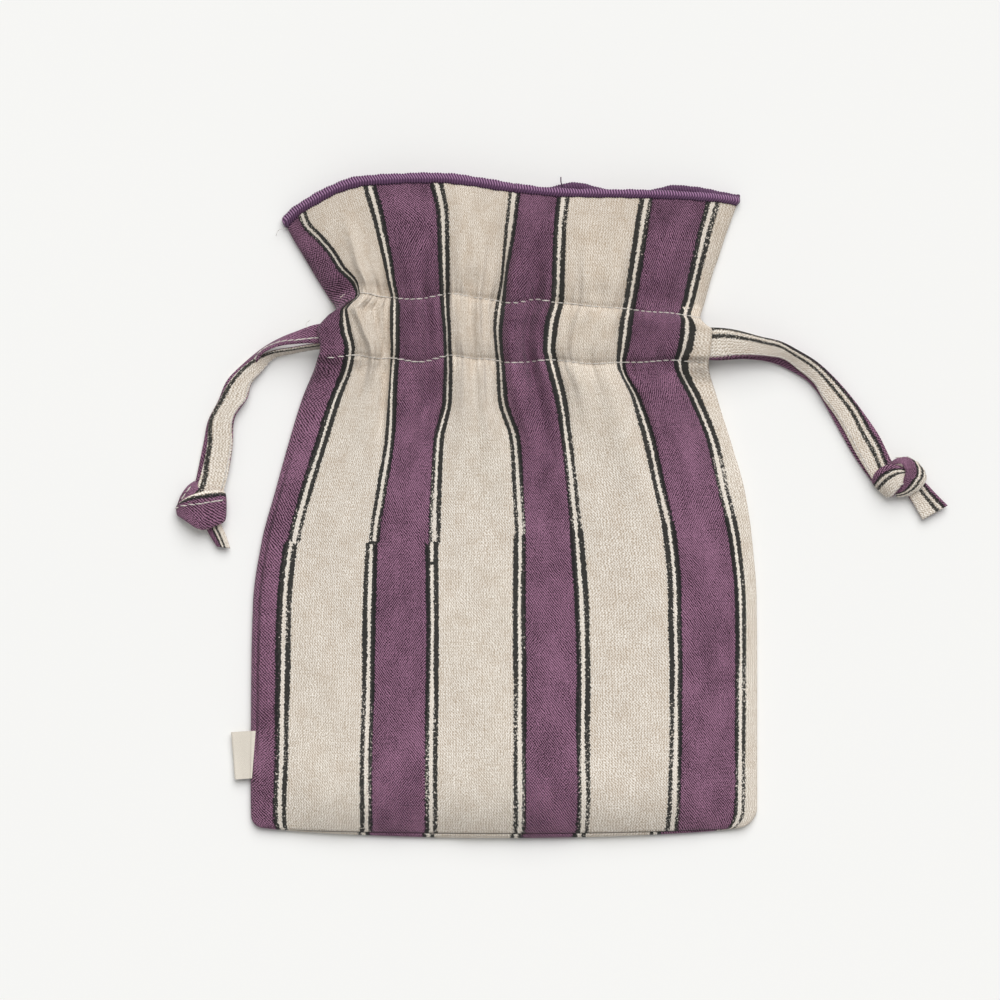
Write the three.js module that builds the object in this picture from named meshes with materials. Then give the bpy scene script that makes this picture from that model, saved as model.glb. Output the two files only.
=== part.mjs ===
import * as THREE from 'three';
import { mergeVertices } from 'three/addons/utils/BufferGeometryUtils.js';

// Sizes in millimetres. X runs across the pouch, Y towards its mouth, Z up from the surface it lies on.

// Cloth body
const POUCH_WIDTH = 202;
const BODY_LENGTH = 192;
const CASING_HEIGHT = 24;
const FRILL_HEIGHT = 50;
const NECK_WIDTH = 155;
const MOUTH_WIDTH = 184;
const NECK_SHIFT = 5.5;
const SHOULDER_LENGTH = 88;
const BACK_LIFT_LENGTH = 44;
const CORNER_RADIUS = 7;
const BOTTOM_BOW = 4;
const FRILL_LEFT_DROP = 19;
const FRONT_RIGHT_DROP = 9;
const BACK_RIGHT_DROP = 7;
const CLOTH = 0.5;
const BODY_HEIGHT = 11.5;
const BOTTOM_EASE = 30;
const PUFF_POWER = 5;
const FRONT_GATHERS = 6;
const FRONT_GATHER_DEPTH = 4;
const BACK_GATHERS = 4;
const BACK_GATHER_DEPTH = 2;

// Seams, casing and edge
const GAP = 0.3;
const SEAM_WIDTH = 8;
const SEAM_THICKNESS = 1.2;
const SLIT_EASE = 8;
const STRIP_THICKNESS = 0.4;
const STRIP_HEM = 3;
const STRIP_END_COLUMNS = 2;
const STITCH_WIDTH = 0.7;
const STITCH_THICKNESS = 0.5;
const OVERLOCK_WIDTH = 3.2;
const OVERLOCK_THICKNESS = 2;

// Drawstrings
const TAPE_WIDTH = 10.4;
const TAPE_RUN_WIDTH = 8;
const TAPE_THICKNESS = 1.2;
const NECK_ROOM = 6;
const LANE_MARGIN = 1.2;
const LANE_GAP = 0.5;
const BEND_INSET = 1.5;
const KNOT_LENGTH = 19;
const KNOT_WIDTH = 17;
const KNOT_HEIGHT = 7;
const LEFT_TAIL_LENGTH = 8;
const RIGHT_TAIL_LENGTH = 11.5;
const TAIL_WIDTH = 8;

// Label
const LABEL_LENGTH = 18.5;
const LABEL_REACH = 8.5;
const LABEL_THICKNESS = 1.1;
const LABEL_CLOTH = 0.35;
const LABEL_HEIGHT = 33.2;

// Free strands, point by point: share of the way from the exit to the line of the pouch's side,
// distance beyond that, and distance below the exit
const LEFT_ROUTE = [
  [0, 0, 0],
  [0.25, 0.2, 0],
  [0.6, 0.9, 3.6],
  [1, 2, 10.6],
  [1, 9.5, 19.6],
  [1, 15, 32],
  [1, 18.5, 44.5],
  [1, 21, 56],
  [1, 23, 64],
];
const RIGHT_ROUTE = [
  [0, 0, 0],
  [0.4, 0.4, 0],
  [1, 0.5, 1],
  [1, 12.5, 6.8],
  [1, 23.5, 17],
  [1, 33, 29.4],
  [1, 40.5, 41.4],
  [1, 44.3, 47.4],
];
const STRAND_STEPS = 16;
const LOWER_STRAND_SHIFT = 1.2;
const SURFACE_CLEARANCE = 0.3;
const LEFT_TAIL_ANGLE = -62;
const RIGHT_TAIL_ANGLE = -40;

// Derived heights along the pouch
const BOTTOM = -(BODY_LENGTH + CASING_HEIGHT + FRILL_HEIGHT) / 2;
const ROW_LOW = BOTTOM + BODY_LENGTH;
const ROW_UP = ROW_LOW + CASING_HEIGHT;
const TOP = ROW_UP + FRILL_HEIGHT;
const PANEL_TOP = TOP - OVERLOCK_WIDTH - GAP;
const SHOULDER = ROW_LOW - SHOULDER_LENGTH;
const SLIT_LOW = ROW_LOW - SLIT_EASE;
const SLIT_UP = ROW_UP + SLIT_EASE;

// Derived levels through the neck, from the back cloth up
const EDGE = 2 * CLOTH + 2 * GAP + SEAM_THICKNESS;
const BACK_TAPE_Z = BACK_GATHER_DEPTH + CLOTH + GAP + TAPE_THICKNESS / 2;
const BACK_STRIP_Z = BACK_TAPE_Z + TAPE_THICKNESS / 2 + GAP;
const FRONT_STRIP_Z = BACK_STRIP_Z + STRIP_THICKNESS + NECK_ROOM;
const FRONT_TAPE_Z = FRONT_STRIP_Z + STRIP_THICKNESS + GAP + TAPE_THICKNESS / 2;
const NECK_TOP = FRONT_TAPE_Z + TAPE_THICKNESS / 2 + GAP + CLOTH;

const NECK_LEFT = NECK_SHIFT - NECK_WIDTH / 2;
const NECK_RIGHT = NECK_SHIFT + NECK_WIDTH / 2;
const RIGHT_LANE = ROW_LOW + LANE_MARGIN + TAPE_RUN_WIDTH / 2;
const LEFT_LANE = RIGHT_LANE + TAPE_RUN_WIDTH + LANE_GAP;
const BEND_RADIUS = (FRONT_TAPE_Z - BACK_TAPE_Z + TAPE_THICKNESS) / 2;
const BEND_Z = (FRONT_TAPE_Z + BACK_TAPE_Z) / 2;

const { lerp, smoothstep, degToRad } = THREE.MathUtils;

const part = new THREE.Group();
part.name = 'drawstring_pouch';

function cloth(color, roughness = 0.9) {
  return new THREE.MeshStandardMaterial({ color, roughness, metalness: 0 });
}

function add(name, geometry, material) {
  const mesh = new THREE.Mesh(geometry, material);
  mesh.name = name;
  part.add(mesh);
}

function spread(from, to, count) {
  return Array.from({ length: count }, (_, n) => lerp(from, to, n / count));
}

function columns(count) {
  return [...spread(-1, 1, count), 1];
}

// A closed sheet: place(s, t) gives x, y and the low and high faces at each grid point
function sheet(across, along, place) {
  const box = new THREE.BoxGeometry(1, 1, 1, across.length - 1, along.length - 1, 1);
  box.deleteAttribute('normal');
  box.deleteAttribute('uv');
  const geometry = mergeVertices(box);
  const position = geometry.attributes.position;
  for (let n = 0; n < position.count; n += 1) {
    const s = across[Math.round((position.getX(n) + 0.5) * (across.length - 1))];
    const t = along[Math.round((position.getY(n) + 0.5) * (along.length - 1))];
    const spot = place(s, t);
    position.setXYZ(n, spot.x, spot.y, position.getZ(n) > 0 ? spot.high : spot.low);
  }
  geometry.computeVertexNormals();
  return geometry;
}

// Shape of the lying pouch
function gathered(y) {
  return smoothstep(y, SHOULDER, ROW_LOW);
}

function frillPart(y) {
  return THREE.MathUtils.clamp((y - ROW_UP) / FRILL_HEIGHT, 0, 1);
}

function centre(y) {
  return NECK_SHIFT * gathered(y);
}

function halfWidth(y) {
  const frill = frillPart(y);
  const body = lerp(POUCH_WIDTH, NECK_WIDTH, gathered(y)) / 2;
  const flared = lerp(body, MOUTH_WIDTH / 2, frill * (2 - frill));
  const rise = Math.min((y - BOTTOM) / CORNER_RADIUS, 1);
  const corner = CORNER_RADIUS * (1 - Math.sqrt(1 - (1 - rise) ** 2));
  return flared - corner;
}

// Place of a cloth point, from its share across and its row: the bottom bows and the mouth dips at its ends
function across(s, row, rightDrop) {
  const bow = BOTTOM_BOW * s * s * (1 - smoothstep(row, BOTTOM, BOTTOM + 2 * BOTTOM_EASE));
  const left = FRILL_LEFT_DROP * Math.max(-2 * s - 1, 0) ** 2;
  const right = rightDrop * Math.max((2 * s + 1) / 3, 0);
  return { x: centre(row) + s * halfWidth(row), y: row + bow - (left + right) * frillPart(row) };
}

function wave(s, count) {
  return (1 - Math.cos(Math.PI * count * (s + 1))) / 2;
}

function backLift(y) {
  return BACK_GATHER_DEPTH * smoothstep(y, ROW_LOW - BACK_LIFT_LENGTH, ROW_LOW) * lerp(1, 0.7, frillPart(y));
}

function backLow(s, y) {
  return backLift(y) * (1 - wave(s, BACK_GATHERS));
}

function slit(y) {
  return smoothstep(y, SLIT_LOW, ROW_LOW) * (1 - smoothstep(y, ROW_UP, SLIT_UP));
}

function frontHigh(s, y) {
  const rise = Math.min((y - BOTTOM) / BOTTOM_EASE, 1);
  const body = lerp(EDGE, BODY_HEIGHT, 1 - (1 - rise) ** 3);
  const crown = lerp(body, NECK_TOP, gathered(y)) - frillPart(y);
  const edge = lerp(backLift(y) + EDGE, crown, slit(y));
  const folds = FRONT_GATHER_DEPTH * gathered(y) * lerp(1, 0.8, frillPart(y));
  return lerp(crown, edge, Math.abs(s) ** PUFF_POWER) + folds * wave(s, FRONT_GATHERS);
}

function frontSpot(s, row) {
  const high = frontHigh(s, row);
  return { ...across(s, row, FRONT_RIGHT_DROP), low: high - CLOTH, high };
}

function backSpot(s, row) {
  const low = backLow(s, row);
  return { ...across(s, row, BACK_RIGHT_DROP), low, high: low + CLOTH };
}

const FRONT_COLUMNS = columns(FRONT_GATHERS * 6);
const BACK_COLUMNS = columns(BACK_GATHERS * 6);
const ROWS = [
  ...spread(BOTTOM, BOTTOM + CORNER_RADIUS, 3),
  ...spread(BOTTOM + CORNER_RADIUS, BOTTOM + BOTTOM_EASE, 2),
  ...spread(BOTTOM + BOTTOM_EASE, SHOULDER, 2),
  ...spread(SHOULDER, SLIT_LOW, 5),
  SLIT_LOW,
  ROW_LOW - STRIP_HEM,
  ROW_LOW,
  (ROW_LOW + ROW_UP) / 2,
  ROW_UP,
  ROW_UP + STRIP_HEM,
  ...spread(SLIT_UP, PANEL_TOP, 3),
  PANEL_TOP,
];

add('front_panel', sheet(FRONT_COLUMNS, ROWS, frontSpot), cloth('#d3c5b0'));
add('back_panel', sheet(BACK_COLUMNS, ROWS, backSpot), cloth('#cfc1ac'));

// Inner strips that make the casing: sewn on along both rows, hollow between them
const STRIP_ROWS = [
  ROW_LOW - STRIP_HEM,
  ROW_LOW,
  ROW_LOW + LANE_MARGIN - GAP,
  ROW_UP - LANE_MARGIN + GAP,
  ROW_UP,
  ROW_UP + STRIP_HEM,
];

function inCasing(y) {
  return y > ROW_LOW + 1e-6 && y < ROW_UP - 1e-6;
}

function frontStripSpot(s, row) {
  const high = inCasing(row) ? FRONT_STRIP_Z + STRIP_THICKNESS : frontHigh(s, row) - CLOTH - GAP;
  return { ...across(s, row, FRONT_RIGHT_DROP), low: high - STRIP_THICKNESS, high };
}

function backStripSpot(s, row) {
  const low = inCasing(row) ? BACK_STRIP_Z : backLow(s, row) + CLOTH + GAP;
  return { ...across(s, row, BACK_RIGHT_DROP), low, high: low + STRIP_THICKNESS };
}

const FRONT_STRIP_COLUMNS = FRONT_COLUMNS.slice(STRIP_END_COLUMNS, -STRIP_END_COLUMNS);
const BACK_STRIP_COLUMNS = BACK_COLUMNS.slice(STRIP_END_COLUMNS, -STRIP_END_COLUMNS);
add('front_casing_strip', sheet(FRONT_STRIP_COLUMNS, STRIP_ROWS, frontStripSpot), cloth('#cabca6'));
add('back_casing_strip', sheet(BACK_STRIP_COLUMNS, STRIP_ROWS, backStripSpot), cloth('#c6b8a2'));

// Stitch rows: over the outside of the front casing, and on the inner face of the back strip
function stitchRows(row) {
  return [row - STITCH_WIDTH / 2, row + STITCH_WIDTH / 2];
}

function frontStitch(row) {
  const spot = (s, y) => {
    const low = frontHigh(s, row) + GAP;
    return { x: frontSpot(s, row).x, y, low, high: low + STITCH_THICKNESS };
  };
  return sheet(FRONT_COLUMNS.slice(1, -1), stitchRows(row), spot);
}

function backStitch(row) {
  const spot = (s, y) => {
    const low = backStripSpot(s, row).high + GAP;
    return { x: backSpot(s, row).x, y, low, high: low + STITCH_THICKNESS };
  };
  return sheet(BACK_STRIP_COLUMNS, stitchRows(row), spot);
}

add('front_lower_stitch', frontStitch(ROW_LOW), cloth('#efe9dc'));
add('front_upper_stitch', frontStitch(ROW_UP), cloth('#efe9dc'));
add('back_lower_stitch', backStitch(ROW_LOW - STRIP_HEM / 2), cloth('#efe9dc'));
add('back_upper_stitch', backStitch(ROW_UP + STRIP_HEM / 2), cloth('#efe9dc'));

// Overlocked mouth edge
const OVERLOCK_ROWS = [0, 0.3, 0.7, 1];

function overlock(spotOf, across) {
  const spot = (s, t) => {
    const edge = spotOf(s, PANEL_TOP);
    const half = (OVERLOCK_THICKNESS / 2) * (0.3 + 0.7 * Math.sin(Math.PI * t));
    const middle = Math.max((edge.low + edge.high) / 2, OVERLOCK_THICKNESS / 2);
    return { x: edge.x, y: edge.y + GAP + OVERLOCK_WIDTH * t, low: middle - half, high: middle + half };
  };
  return sheet(across, OVERLOCK_ROWS, spot);
}

add('front_overlock', overlock(frontSpot, FRONT_COLUMNS), cloth('#5d3a68', 0.7));
add('back_overlock', overlock(backSpot, BACK_COLUMNS), cloth('#5d3a68', 0.7));

// Seam allowances folded in between the panels
function sideSeam(side, width, along) {
  const spot = (inset, row) => {
    const low = backLift(row) + CLOTH + GAP;
    const s = side * (1 - (width * inset) / halfWidth(row));
    return { ...across(s, row, FRONT_RIGHT_DROP), low, high: low + SEAM_THICKNESS };
  };
  return sheet(side > 0 ? [1, 0] : [0, 1], along, spot);
}

const BODY_SEAM_START = BOTTOM + SEAM_WIDTH + GAP;
const BODY_SEAM_ROWS = [BODY_SEAM_START, ...ROWS.filter((y) => y > BODY_SEAM_START && y <= SLIT_LOW)];
const FRILL_SEAM_ROWS = ROWS.filter((y) => y >= SLIT_UP);
const FRILL_SEAM_WIDTH = SEAM_WIDTH * 0.6;

add('left_side_seam', sideSeam(-1, SEAM_WIDTH, BODY_SEAM_ROWS), cloth('#6f4878'));
add('right_side_seam', sideSeam(1, SEAM_WIDTH, BODY_SEAM_ROWS), cloth('#cfc1ac'));
add('left_frill_seam', sideSeam(-1, FRILL_SEAM_WIDTH, FRILL_SEAM_ROWS), cloth('#6f4878'));
add('right_frill_seam', sideSeam(1, FRILL_SEAM_WIDTH, FRILL_SEAM_ROWS), cloth('#cfc1ac'));

const BOTTOM_SEAM_SHARE = 1 - (2 * CORNER_RADIUS) / POUCH_WIDTH;
const BOTTOM_SEAM_COLUMNS = columns(8).map((s) => s * BOTTOM_SEAM_SHARE);

function bottomSeamSpot(s, inset) {
  const { y } = across(s, BOTTOM, FRONT_RIGHT_DROP);
  const low = CLOTH + GAP;
  return { x: (s * POUCH_WIDTH) / 2, y: y + inset, low, high: low + SEAM_THICKNESS };
}

add('bottom_seam', sheet(BOTTOM_SEAM_COLUMNS, [0, SEAM_WIDTH], bottomSeamSpot), cloth('#cfc1ac'));

// Label folded over and caught in the left seam
function labelGeometry() {
  const half = LABEL_THICKNESS / 2;
  const inner = half - LABEL_CLOTH;
  const turn = half - LABEL_REACH;
  const outline = new THREE.Shape();
  outline.moveTo(0, half);
  outline.lineTo(turn, half);
  outline.absarc(turn, 0, half, Math.PI / 2, Math.PI * 1.5, false);
  outline.lineTo(0, -half);
  outline.lineTo(0, -inner);
  outline.lineTo(turn, -inner);
  outline.absarc(turn, 0, inner, Math.PI * 1.5, Math.PI / 2, true);
  outline.lineTo(0, inner);
  outline.closePath();
  const geometry = new THREE.ExtrudeGeometry(outline, {
    depth: LABEL_LENGTH,
    bevelEnabled: false,
    curveSegments: 6,
  });
  geometry.rotateX(Math.PI / 2);
  geometry.translate(-POUCH_WIDTH / 2 - GAP, BOTTOM + LABEL_HEIGHT + LABEL_LENGTH / 2, EDGE / 2);
  return geometry;
}

add('label', labelGeometry(), cloth('#ebe4d6', 0.8));

// Drawstring inside the casing: a run behind each panel, joined by a bend at the far end
function run(from, to, lane, level) {
  const geometry = new THREE.BoxGeometry(Math.abs(to - from) - GAP, TAPE_RUN_WIDTH, TAPE_THICKNESS);
  geometry.translate((from + to) / 2, lane, level);
  return geometry;
}

function bend(x, lane, side) {
  const outline = new THREE.Shape();
  const inner = BEND_RADIUS - TAPE_THICKNESS;
  outline.absarc(0, 0, BEND_RADIUS, -Math.PI / 2, Math.PI / 2, false);
  outline.absarc(0, 0, inner, Math.PI / 2, -Math.PI / 2, true);
  outline.closePath();
  const geometry = new THREE.ExtrudeGeometry(outline, {
    depth: TAPE_RUN_WIDTH,
    bevelEnabled: false,
    curveSegments: 10,
  });
  if (side < 0) {
    geometry.rotateZ(Math.PI);
  }
  geometry.rotateX(Math.PI / 2);
  geometry.translate(x, lane + TAPE_RUN_WIDTH / 2, BEND_Z);
  return geometry;
}

// Free strand: leaves the exit level, then drops to lie flat on the surface. Its width stays level all along.
class TapePath extends THREE.CatmullRomCurve3 {
  computeFrenetFrames(segments) {
    const up = new THREE.Vector3(0, 0, 1);
    const tangents = [];
    const normals = [];
    const binormals = [];
    for (let n = 0; n <= segments; n += 1) {
      const tangent = this.getTangentAt(n / segments);
      const sideways = new THREE.Vector3().crossVectors(tangent, up).normalize();
      tangents.push(tangent);
      binormals.push(sideways);
      normals.push(new THREE.Vector3().crossVectors(sideways, tangent));
    }
    return { tangents, normals, binormals };
  }
}

function tapeSection() {
  const flat = TAPE_THICKNESS / 2;
  const wide = TAPE_WIDTH / 2;
  const edge = TAPE_THICKNESS / 4;
  return new THREE.Shape([
    new THREE.Vector2(flat, -wide + edge),
    new THREE.Vector2(flat, wide - edge),
    new THREE.Vector2(edge, wide),
    new THREE.Vector2(-edge, wide),
    new THREE.Vector2(-flat, wide - edge),
    new THREE.Vector2(-flat, -wide + edge),
    new THREE.Vector2(-edge, -wide),
    new THREE.Vector2(edge, -wide),
  ]);
}

function strandPath(route, side, lane, start, rest, shift) {
  const exit = side < 0 ? NECK_LEFT : NECK_RIGHT;
  const shoulder = (POUCH_WIDTH - NECK_WIDTH) / 2;
  const last = route.length - 1;
  const points = route.map(([share, beyond, below], n) => {
    const apart = shift * Math.sin((Math.PI * n) / last);
    const x = exit + side * (GAP / 2 + share * shoulder + beyond + apart);
    return new THREE.Vector3(x, lane - below, lerp(start, rest, smoothstep(n / last, 0.15, 0.75)));
  });
  return new TapePath(points);
}

function strand(path) {
  return new THREE.ExtrudeGeometry(tapeSection(), { steps: STRAND_STEPS, extrudePath: path });
}

function knot(centrePoint, angle) {
  const outline = new THREE.Shape();
  outline.absellipse(0, 0, KNOT_LENGTH / 2, KNOT_WIDTH / 2, 0, Math.PI * 2, false, 0);
  const round = KNOT_HEIGHT / 5;
  const geometry = new THREE.ExtrudeGeometry(outline, {
    depth: KNOT_HEIGHT - 2 * round,
    bevelThickness: round,
    bevelSize: round,
    bevelOffset: -round,
    bevelSegments: 2,
    curveSegments: 8,
  });
  geometry.rotateZ(angle);
  geometry.translate(centrePoint.x, centrePoint.y, centrePoint.z + round);
  return geometry;
}

function tail(knotPoint, angle, length, level) {
  const geometry = new THREE.BoxGeometry(length, TAIL_WIDTH, TAPE_THICKNESS);
  geometry.translate(KNOT_LENGTH / 2 + GAP + length / 2, 0, 0);
  geometry.rotateZ(angle);
  geometry.translate(knotPoint.x, knotPoint.y, level);
  return geometry;
}

const LOWER_REST = SURFACE_CLEARANCE + TAPE_THICKNESS / 2;
const UPPER_REST = LOWER_REST + TAPE_THICKNESS + GAP;

function drawstring(name, side, lane, route, tailAngle, tailLength, color) {
  const exit = side < 0 ? NECK_LEFT : NECK_RIGHT;
  const far = side < 0 ? NECK_RIGHT : NECK_LEFT;
  const bendX = far + side * (BEND_INSET + BEND_RADIUS);
  add(`${name}_front_run`, run(exit, bendX, lane, FRONT_TAPE_Z), cloth(color));
  add(`${name}_back_run`, run(exit, bendX, lane, BACK_TAPE_Z), cloth(color));
  add(`${name}_bend`, bend(bendX, lane, -side), cloth(color));

  const upper = strandPath(route, side, lane, FRONT_TAPE_Z, UPPER_REST, 0);
  const lower = strandPath(route, side, lane, BACK_TAPE_Z, LOWER_REST, LOWER_STRAND_SHIFT);
  add(`${name}_upper_strand`, strand(upper), cloth('#d3c5b0'));
  add(`${name}_lower_strand`, strand(lower), cloth('#6f4878'));

  const end = upper.getPoint(1);
  const heading = upper.getTangent(1);
  const angle = Math.atan2(heading.y, heading.x);
  const reach = KNOT_LENGTH / 2 + GAP;
  const middle = new THREE.Vector3(reach * Math.cos(angle), reach * Math.sin(angle), 0);
  middle.add(end).setZ(SURFACE_CLEARANCE);
  add(`${name}_knot`, knot(middle, angle), cloth('#6f4878'));
  add(`${name}_upper_tail`, tail(middle, degToRad(tailAngle), tailLength, UPPER_REST), cloth('#d3c5b0'));
  add(`${name}_lower_tail`, tail(middle, degToRad(tailAngle), tailLength, LOWER_REST), cloth('#6f4878'));
}

drawstring('left', -1, LEFT_LANE, LEFT_ROUTE, LEFT_TAIL_ANGLE, LEFT_TAIL_LENGTH, '#6f4878');
drawstring('right', 1, RIGHT_LANE, RIGHT_ROUTE, RIGHT_TAIL_ANGLE, RIGHT_TAIL_LENGTH, '#d3c5b0');

export default part;
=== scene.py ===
"""Drawstring pouch of block-printed linen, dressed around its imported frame."""

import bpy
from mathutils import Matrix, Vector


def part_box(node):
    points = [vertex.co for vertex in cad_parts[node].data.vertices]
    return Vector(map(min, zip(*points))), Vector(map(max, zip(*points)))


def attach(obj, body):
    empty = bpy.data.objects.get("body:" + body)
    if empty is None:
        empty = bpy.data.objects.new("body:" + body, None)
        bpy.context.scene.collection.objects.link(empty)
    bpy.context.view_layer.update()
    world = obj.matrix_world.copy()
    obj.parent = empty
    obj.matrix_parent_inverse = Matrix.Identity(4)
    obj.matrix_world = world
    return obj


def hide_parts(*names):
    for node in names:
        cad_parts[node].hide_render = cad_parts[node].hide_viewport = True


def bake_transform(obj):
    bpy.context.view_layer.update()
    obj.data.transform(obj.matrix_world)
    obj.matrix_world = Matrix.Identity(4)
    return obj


bl_info = {
    "name": "Drawstring Pouch",
    "version": (1, 0, 0),
    "blender": (4, 5, 0),
    "location": "View3D > Sidebar > Pouch",
    "description": "Dresses a gathered linen pouch with print, stitching and tape drawstrings",
    "category": "Object",
}

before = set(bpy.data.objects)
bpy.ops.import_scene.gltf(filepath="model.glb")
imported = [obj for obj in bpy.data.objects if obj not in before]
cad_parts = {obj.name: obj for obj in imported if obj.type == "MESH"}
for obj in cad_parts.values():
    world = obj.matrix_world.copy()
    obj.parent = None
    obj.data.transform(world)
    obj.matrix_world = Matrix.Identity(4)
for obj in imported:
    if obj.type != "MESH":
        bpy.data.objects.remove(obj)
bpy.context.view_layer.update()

import math

import bmesh
import bpy
import numpy as np
from bpy.props import FloatProperty, FloatVectorProperty, PointerProperty
from mathutils import Matrix, Vector

MM = 0.001
TO_MM = (1000.0, 1000.0, 1000.0)

# The flat cloth of a panel in millimetres: its half width and the middle of each pair of printed lines.
HALF_CLOTH = 101.0
LINE_PAIRS = (-90.0, -55.6, -28.8, 5.6, 30.8, 63.6, 92.8)
COLUMNS = (-HALF_CLOTH, *LINE_PAIRS, HALF_CLOTH)
SPLIT = LINE_PAIRS[3]

# The laid cloth: length along the panel, then where each column lies across and along the pouch.
LAID_ROWS = (
    (0.0, (-101.0, -88.9, -54.6, -28.6, 6.2, 31.2, 67.2, 93.8, 101.2), -133.0),
    (14.0, (-101.3, -88.7, -54.4, -28.4, 6.4, 31.6, 68.0, 94.2, 101.2), -119.0),
    (70.0, (-101.0, -87.6, -53.4, -28.2, 6.6, 31.4, 68.6, 94.4, 101.2), -63.0),
    (95.0, (-100.3, -86.6, -53.0, -28.2, 6.4, 30.6, 68.4, 94.2, 101.0), -38.0),
    (119.0, (-96.8, -84.2, -52.4, -28.2, 6.4, 29.2, 66.4, 92.0, 99.2), -14.0),
    (139.0, (-91.4, -79.4, -49.2, -27.6, 5.6, 27.2, 62.2, 87.6, 96.2), 6.0),
    (158.5, (-86.0, -73.2, -46.0, -26.6, 4.4, 24.9, 58.2, 83.2, 90.7), 25.4),
    (176.0, (-80.8, -67.8, -44.6, -23.0, -0.6, 22.6, 52.8, 76.4, 85.4), 42.4),
    (191.0, (-75.0, -62.4, -43.8, -22.6, -1.6, 19.0, 46.6, 69.9, 81.8), 57.0),
    (197.0, (-73.4, -61.8, -43.6, -22.8, -2.2, 17.9, 47.4, 71.6, 82.6), 62.6),
    (205.0, (-74.4, -63.4, -43.8, -23.0, -2.6, 18.4, 48.4, 72.8, 83.0), 70.0),
    (212.0, (-70.6, -64.2, -43.8, -23.6, -2.0, 19.6, 49.2, 72.8, 80.4),
     (75.4, 77.8, 77.8, 78.6, 77.0, 76.2, 75.4, 73.4, 72.2)),
    (217.0, (-67.2, -58.6, -43.9, -23.8, -1.4, 20.8, 49.8, 72.0, 78.4),
     (78.6, 84.2, 82.6, 83.8, 81.4, 80.0, 78.4, 76.0, 75.2)),
    (222.0, (-70.0, -59.6, -45.0, -24.0, -0.6, 21.4, 50.8, 73.6, 80.0),
     (83.0, 88.6, 88.0, 89.4, 86.8, 85.6, 84.0, 81.6, 80.6)),
    (232.0, (-75.4, -65.4, -47.0, -24.4, 0.6, 21.8, 52.6, 76.4, 83.2),
     (91.6, 95.0, 98.6, 100.5, 97.8, 96.6, 95.4, 93.4, 92.0)),
    (239.0, (-78.6, -69.0, -48.8, -24.7, 1.6, 22.1, 53.8, 78.3, 85.9),
     (97.0, 100.6, 106.3, 108.5, 105.3, 104.3, 103.2, 101.4, 99.8)),
    (246.0, (-81.6, -73.8, -50.6, -25.1, 2.6, 22.4, 55.0, 80.2, 88.4),
     (102.0, 106.2, 114.0, 116.5, 112.8, 112.0, 111.0, 109.3, 107.5)),
    (254.0, (-84.6, -79.4, -52.6, -26.3, 3.4, 22.9, 56.0, 82.0, 90.8),
     (107.0, 112.0, 121.2, 123.0, 119.2, 117.9, 117.1, 115.6, 114.0)),
    (262.0, (-87.0, -81.4, -54.6, -27.9, 4.2, 23.6, 57.0, 83.6, 93.2),
     (111.8, 117.0, 128.2, 129.2, 125.4, 123.6, 123.0, 121.8, 120.6)),
)
# Where the back's mouth shows above the front's: place across the flat cloth, half width on the left and
# right, and lift.
BACK_PEAKS = ((36.0, 9.0, 8.0, 3.0), (77.0, 9.0, 20.0, 2.8))
BACK_MOUTH = 0.2
BOTTOM_BOW = 4.0
LEFT_CORNER = 5.0
RIGHT_CORNER = 8.5
CASING_LOW = 191.0
CASING_Y = 57.0
LOWER_ROW = 193.2
UPPER_ROW = 217.0
NOTCH = -85.0
MOUTH = 262.0
SHOULDER = 104.0

# The print: where two blocks meet, and how and from where that line climbs to the right, how far the
# blocks miss each other, how far each line of a pair lies from its middle, its half width, how well ink
# covers, and the ends of lines that run together (place across, place along) with their half sizes.
BLOCK_JOINT = 118.3
JOINT_SLOPE = 0.085
JOINT_FROM = 30.0
BLOCK_STEP = 1.2
LINE_OFF = 1.68
LINE_HALF = 0.64
INK_COVER = 0.97
CROSS_BARS = ((LINE_PAIRS[1], 118.2), (LINE_PAIRS[2], 110.0))
BAR_HALF = 1.8
BAR_RISE = 0.6

# The back's cloth that rolls to the front at the bottom: its height, half length and missing print.
# Then how far a pressed line lies from the left side, and the spacing of columns and rows by such lines.
BOTTOM_ROLL = 1.9
ROLL_HALF = 98.0
ROLL_STEP = 1.1
SIDE_CREASE = 2.1
FINE_STEP = 0.3

# The weave: spacing of its slanting ribs and their lean, spacing of its warp, how much ribs and warp show
# under print and in bare linen, its relief in metres and its sheen, and the spacing of the label's ribs.
RIB_SPACING = 0.79
RIB_ACROSS = 1.1
RIB_ALONG = 0.89
WARP_SPACING = 1.012
PRINTED_RIBS = 0.85
BARE_RIBS = 0.44
BARE_WARP = 0.24
LINEN_RELIEF = 0.00018
LINEN_SHEEN = 0.12
LABEL_RIBS = 0.42

# Threads: how steeply and from which line the overlock's wraps slant, the line of the painted shade in its
# holes, the scale of spun fibre, the relief of thread in metres, how far stitches stand off the cloth, and
# the pitch of topstitch as a share of the casing's.
WRAP_TURNS = 4.0
WRAP_CREST = 0.25
HOLE_SHADE_LINE = 0.42
FIBRE_SCALE = 2500.0
THREAD_RELIEF = 0.0002
STITCH_LIFT = 0.12
TOPSTITCH_SHARE = 0.85

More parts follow.
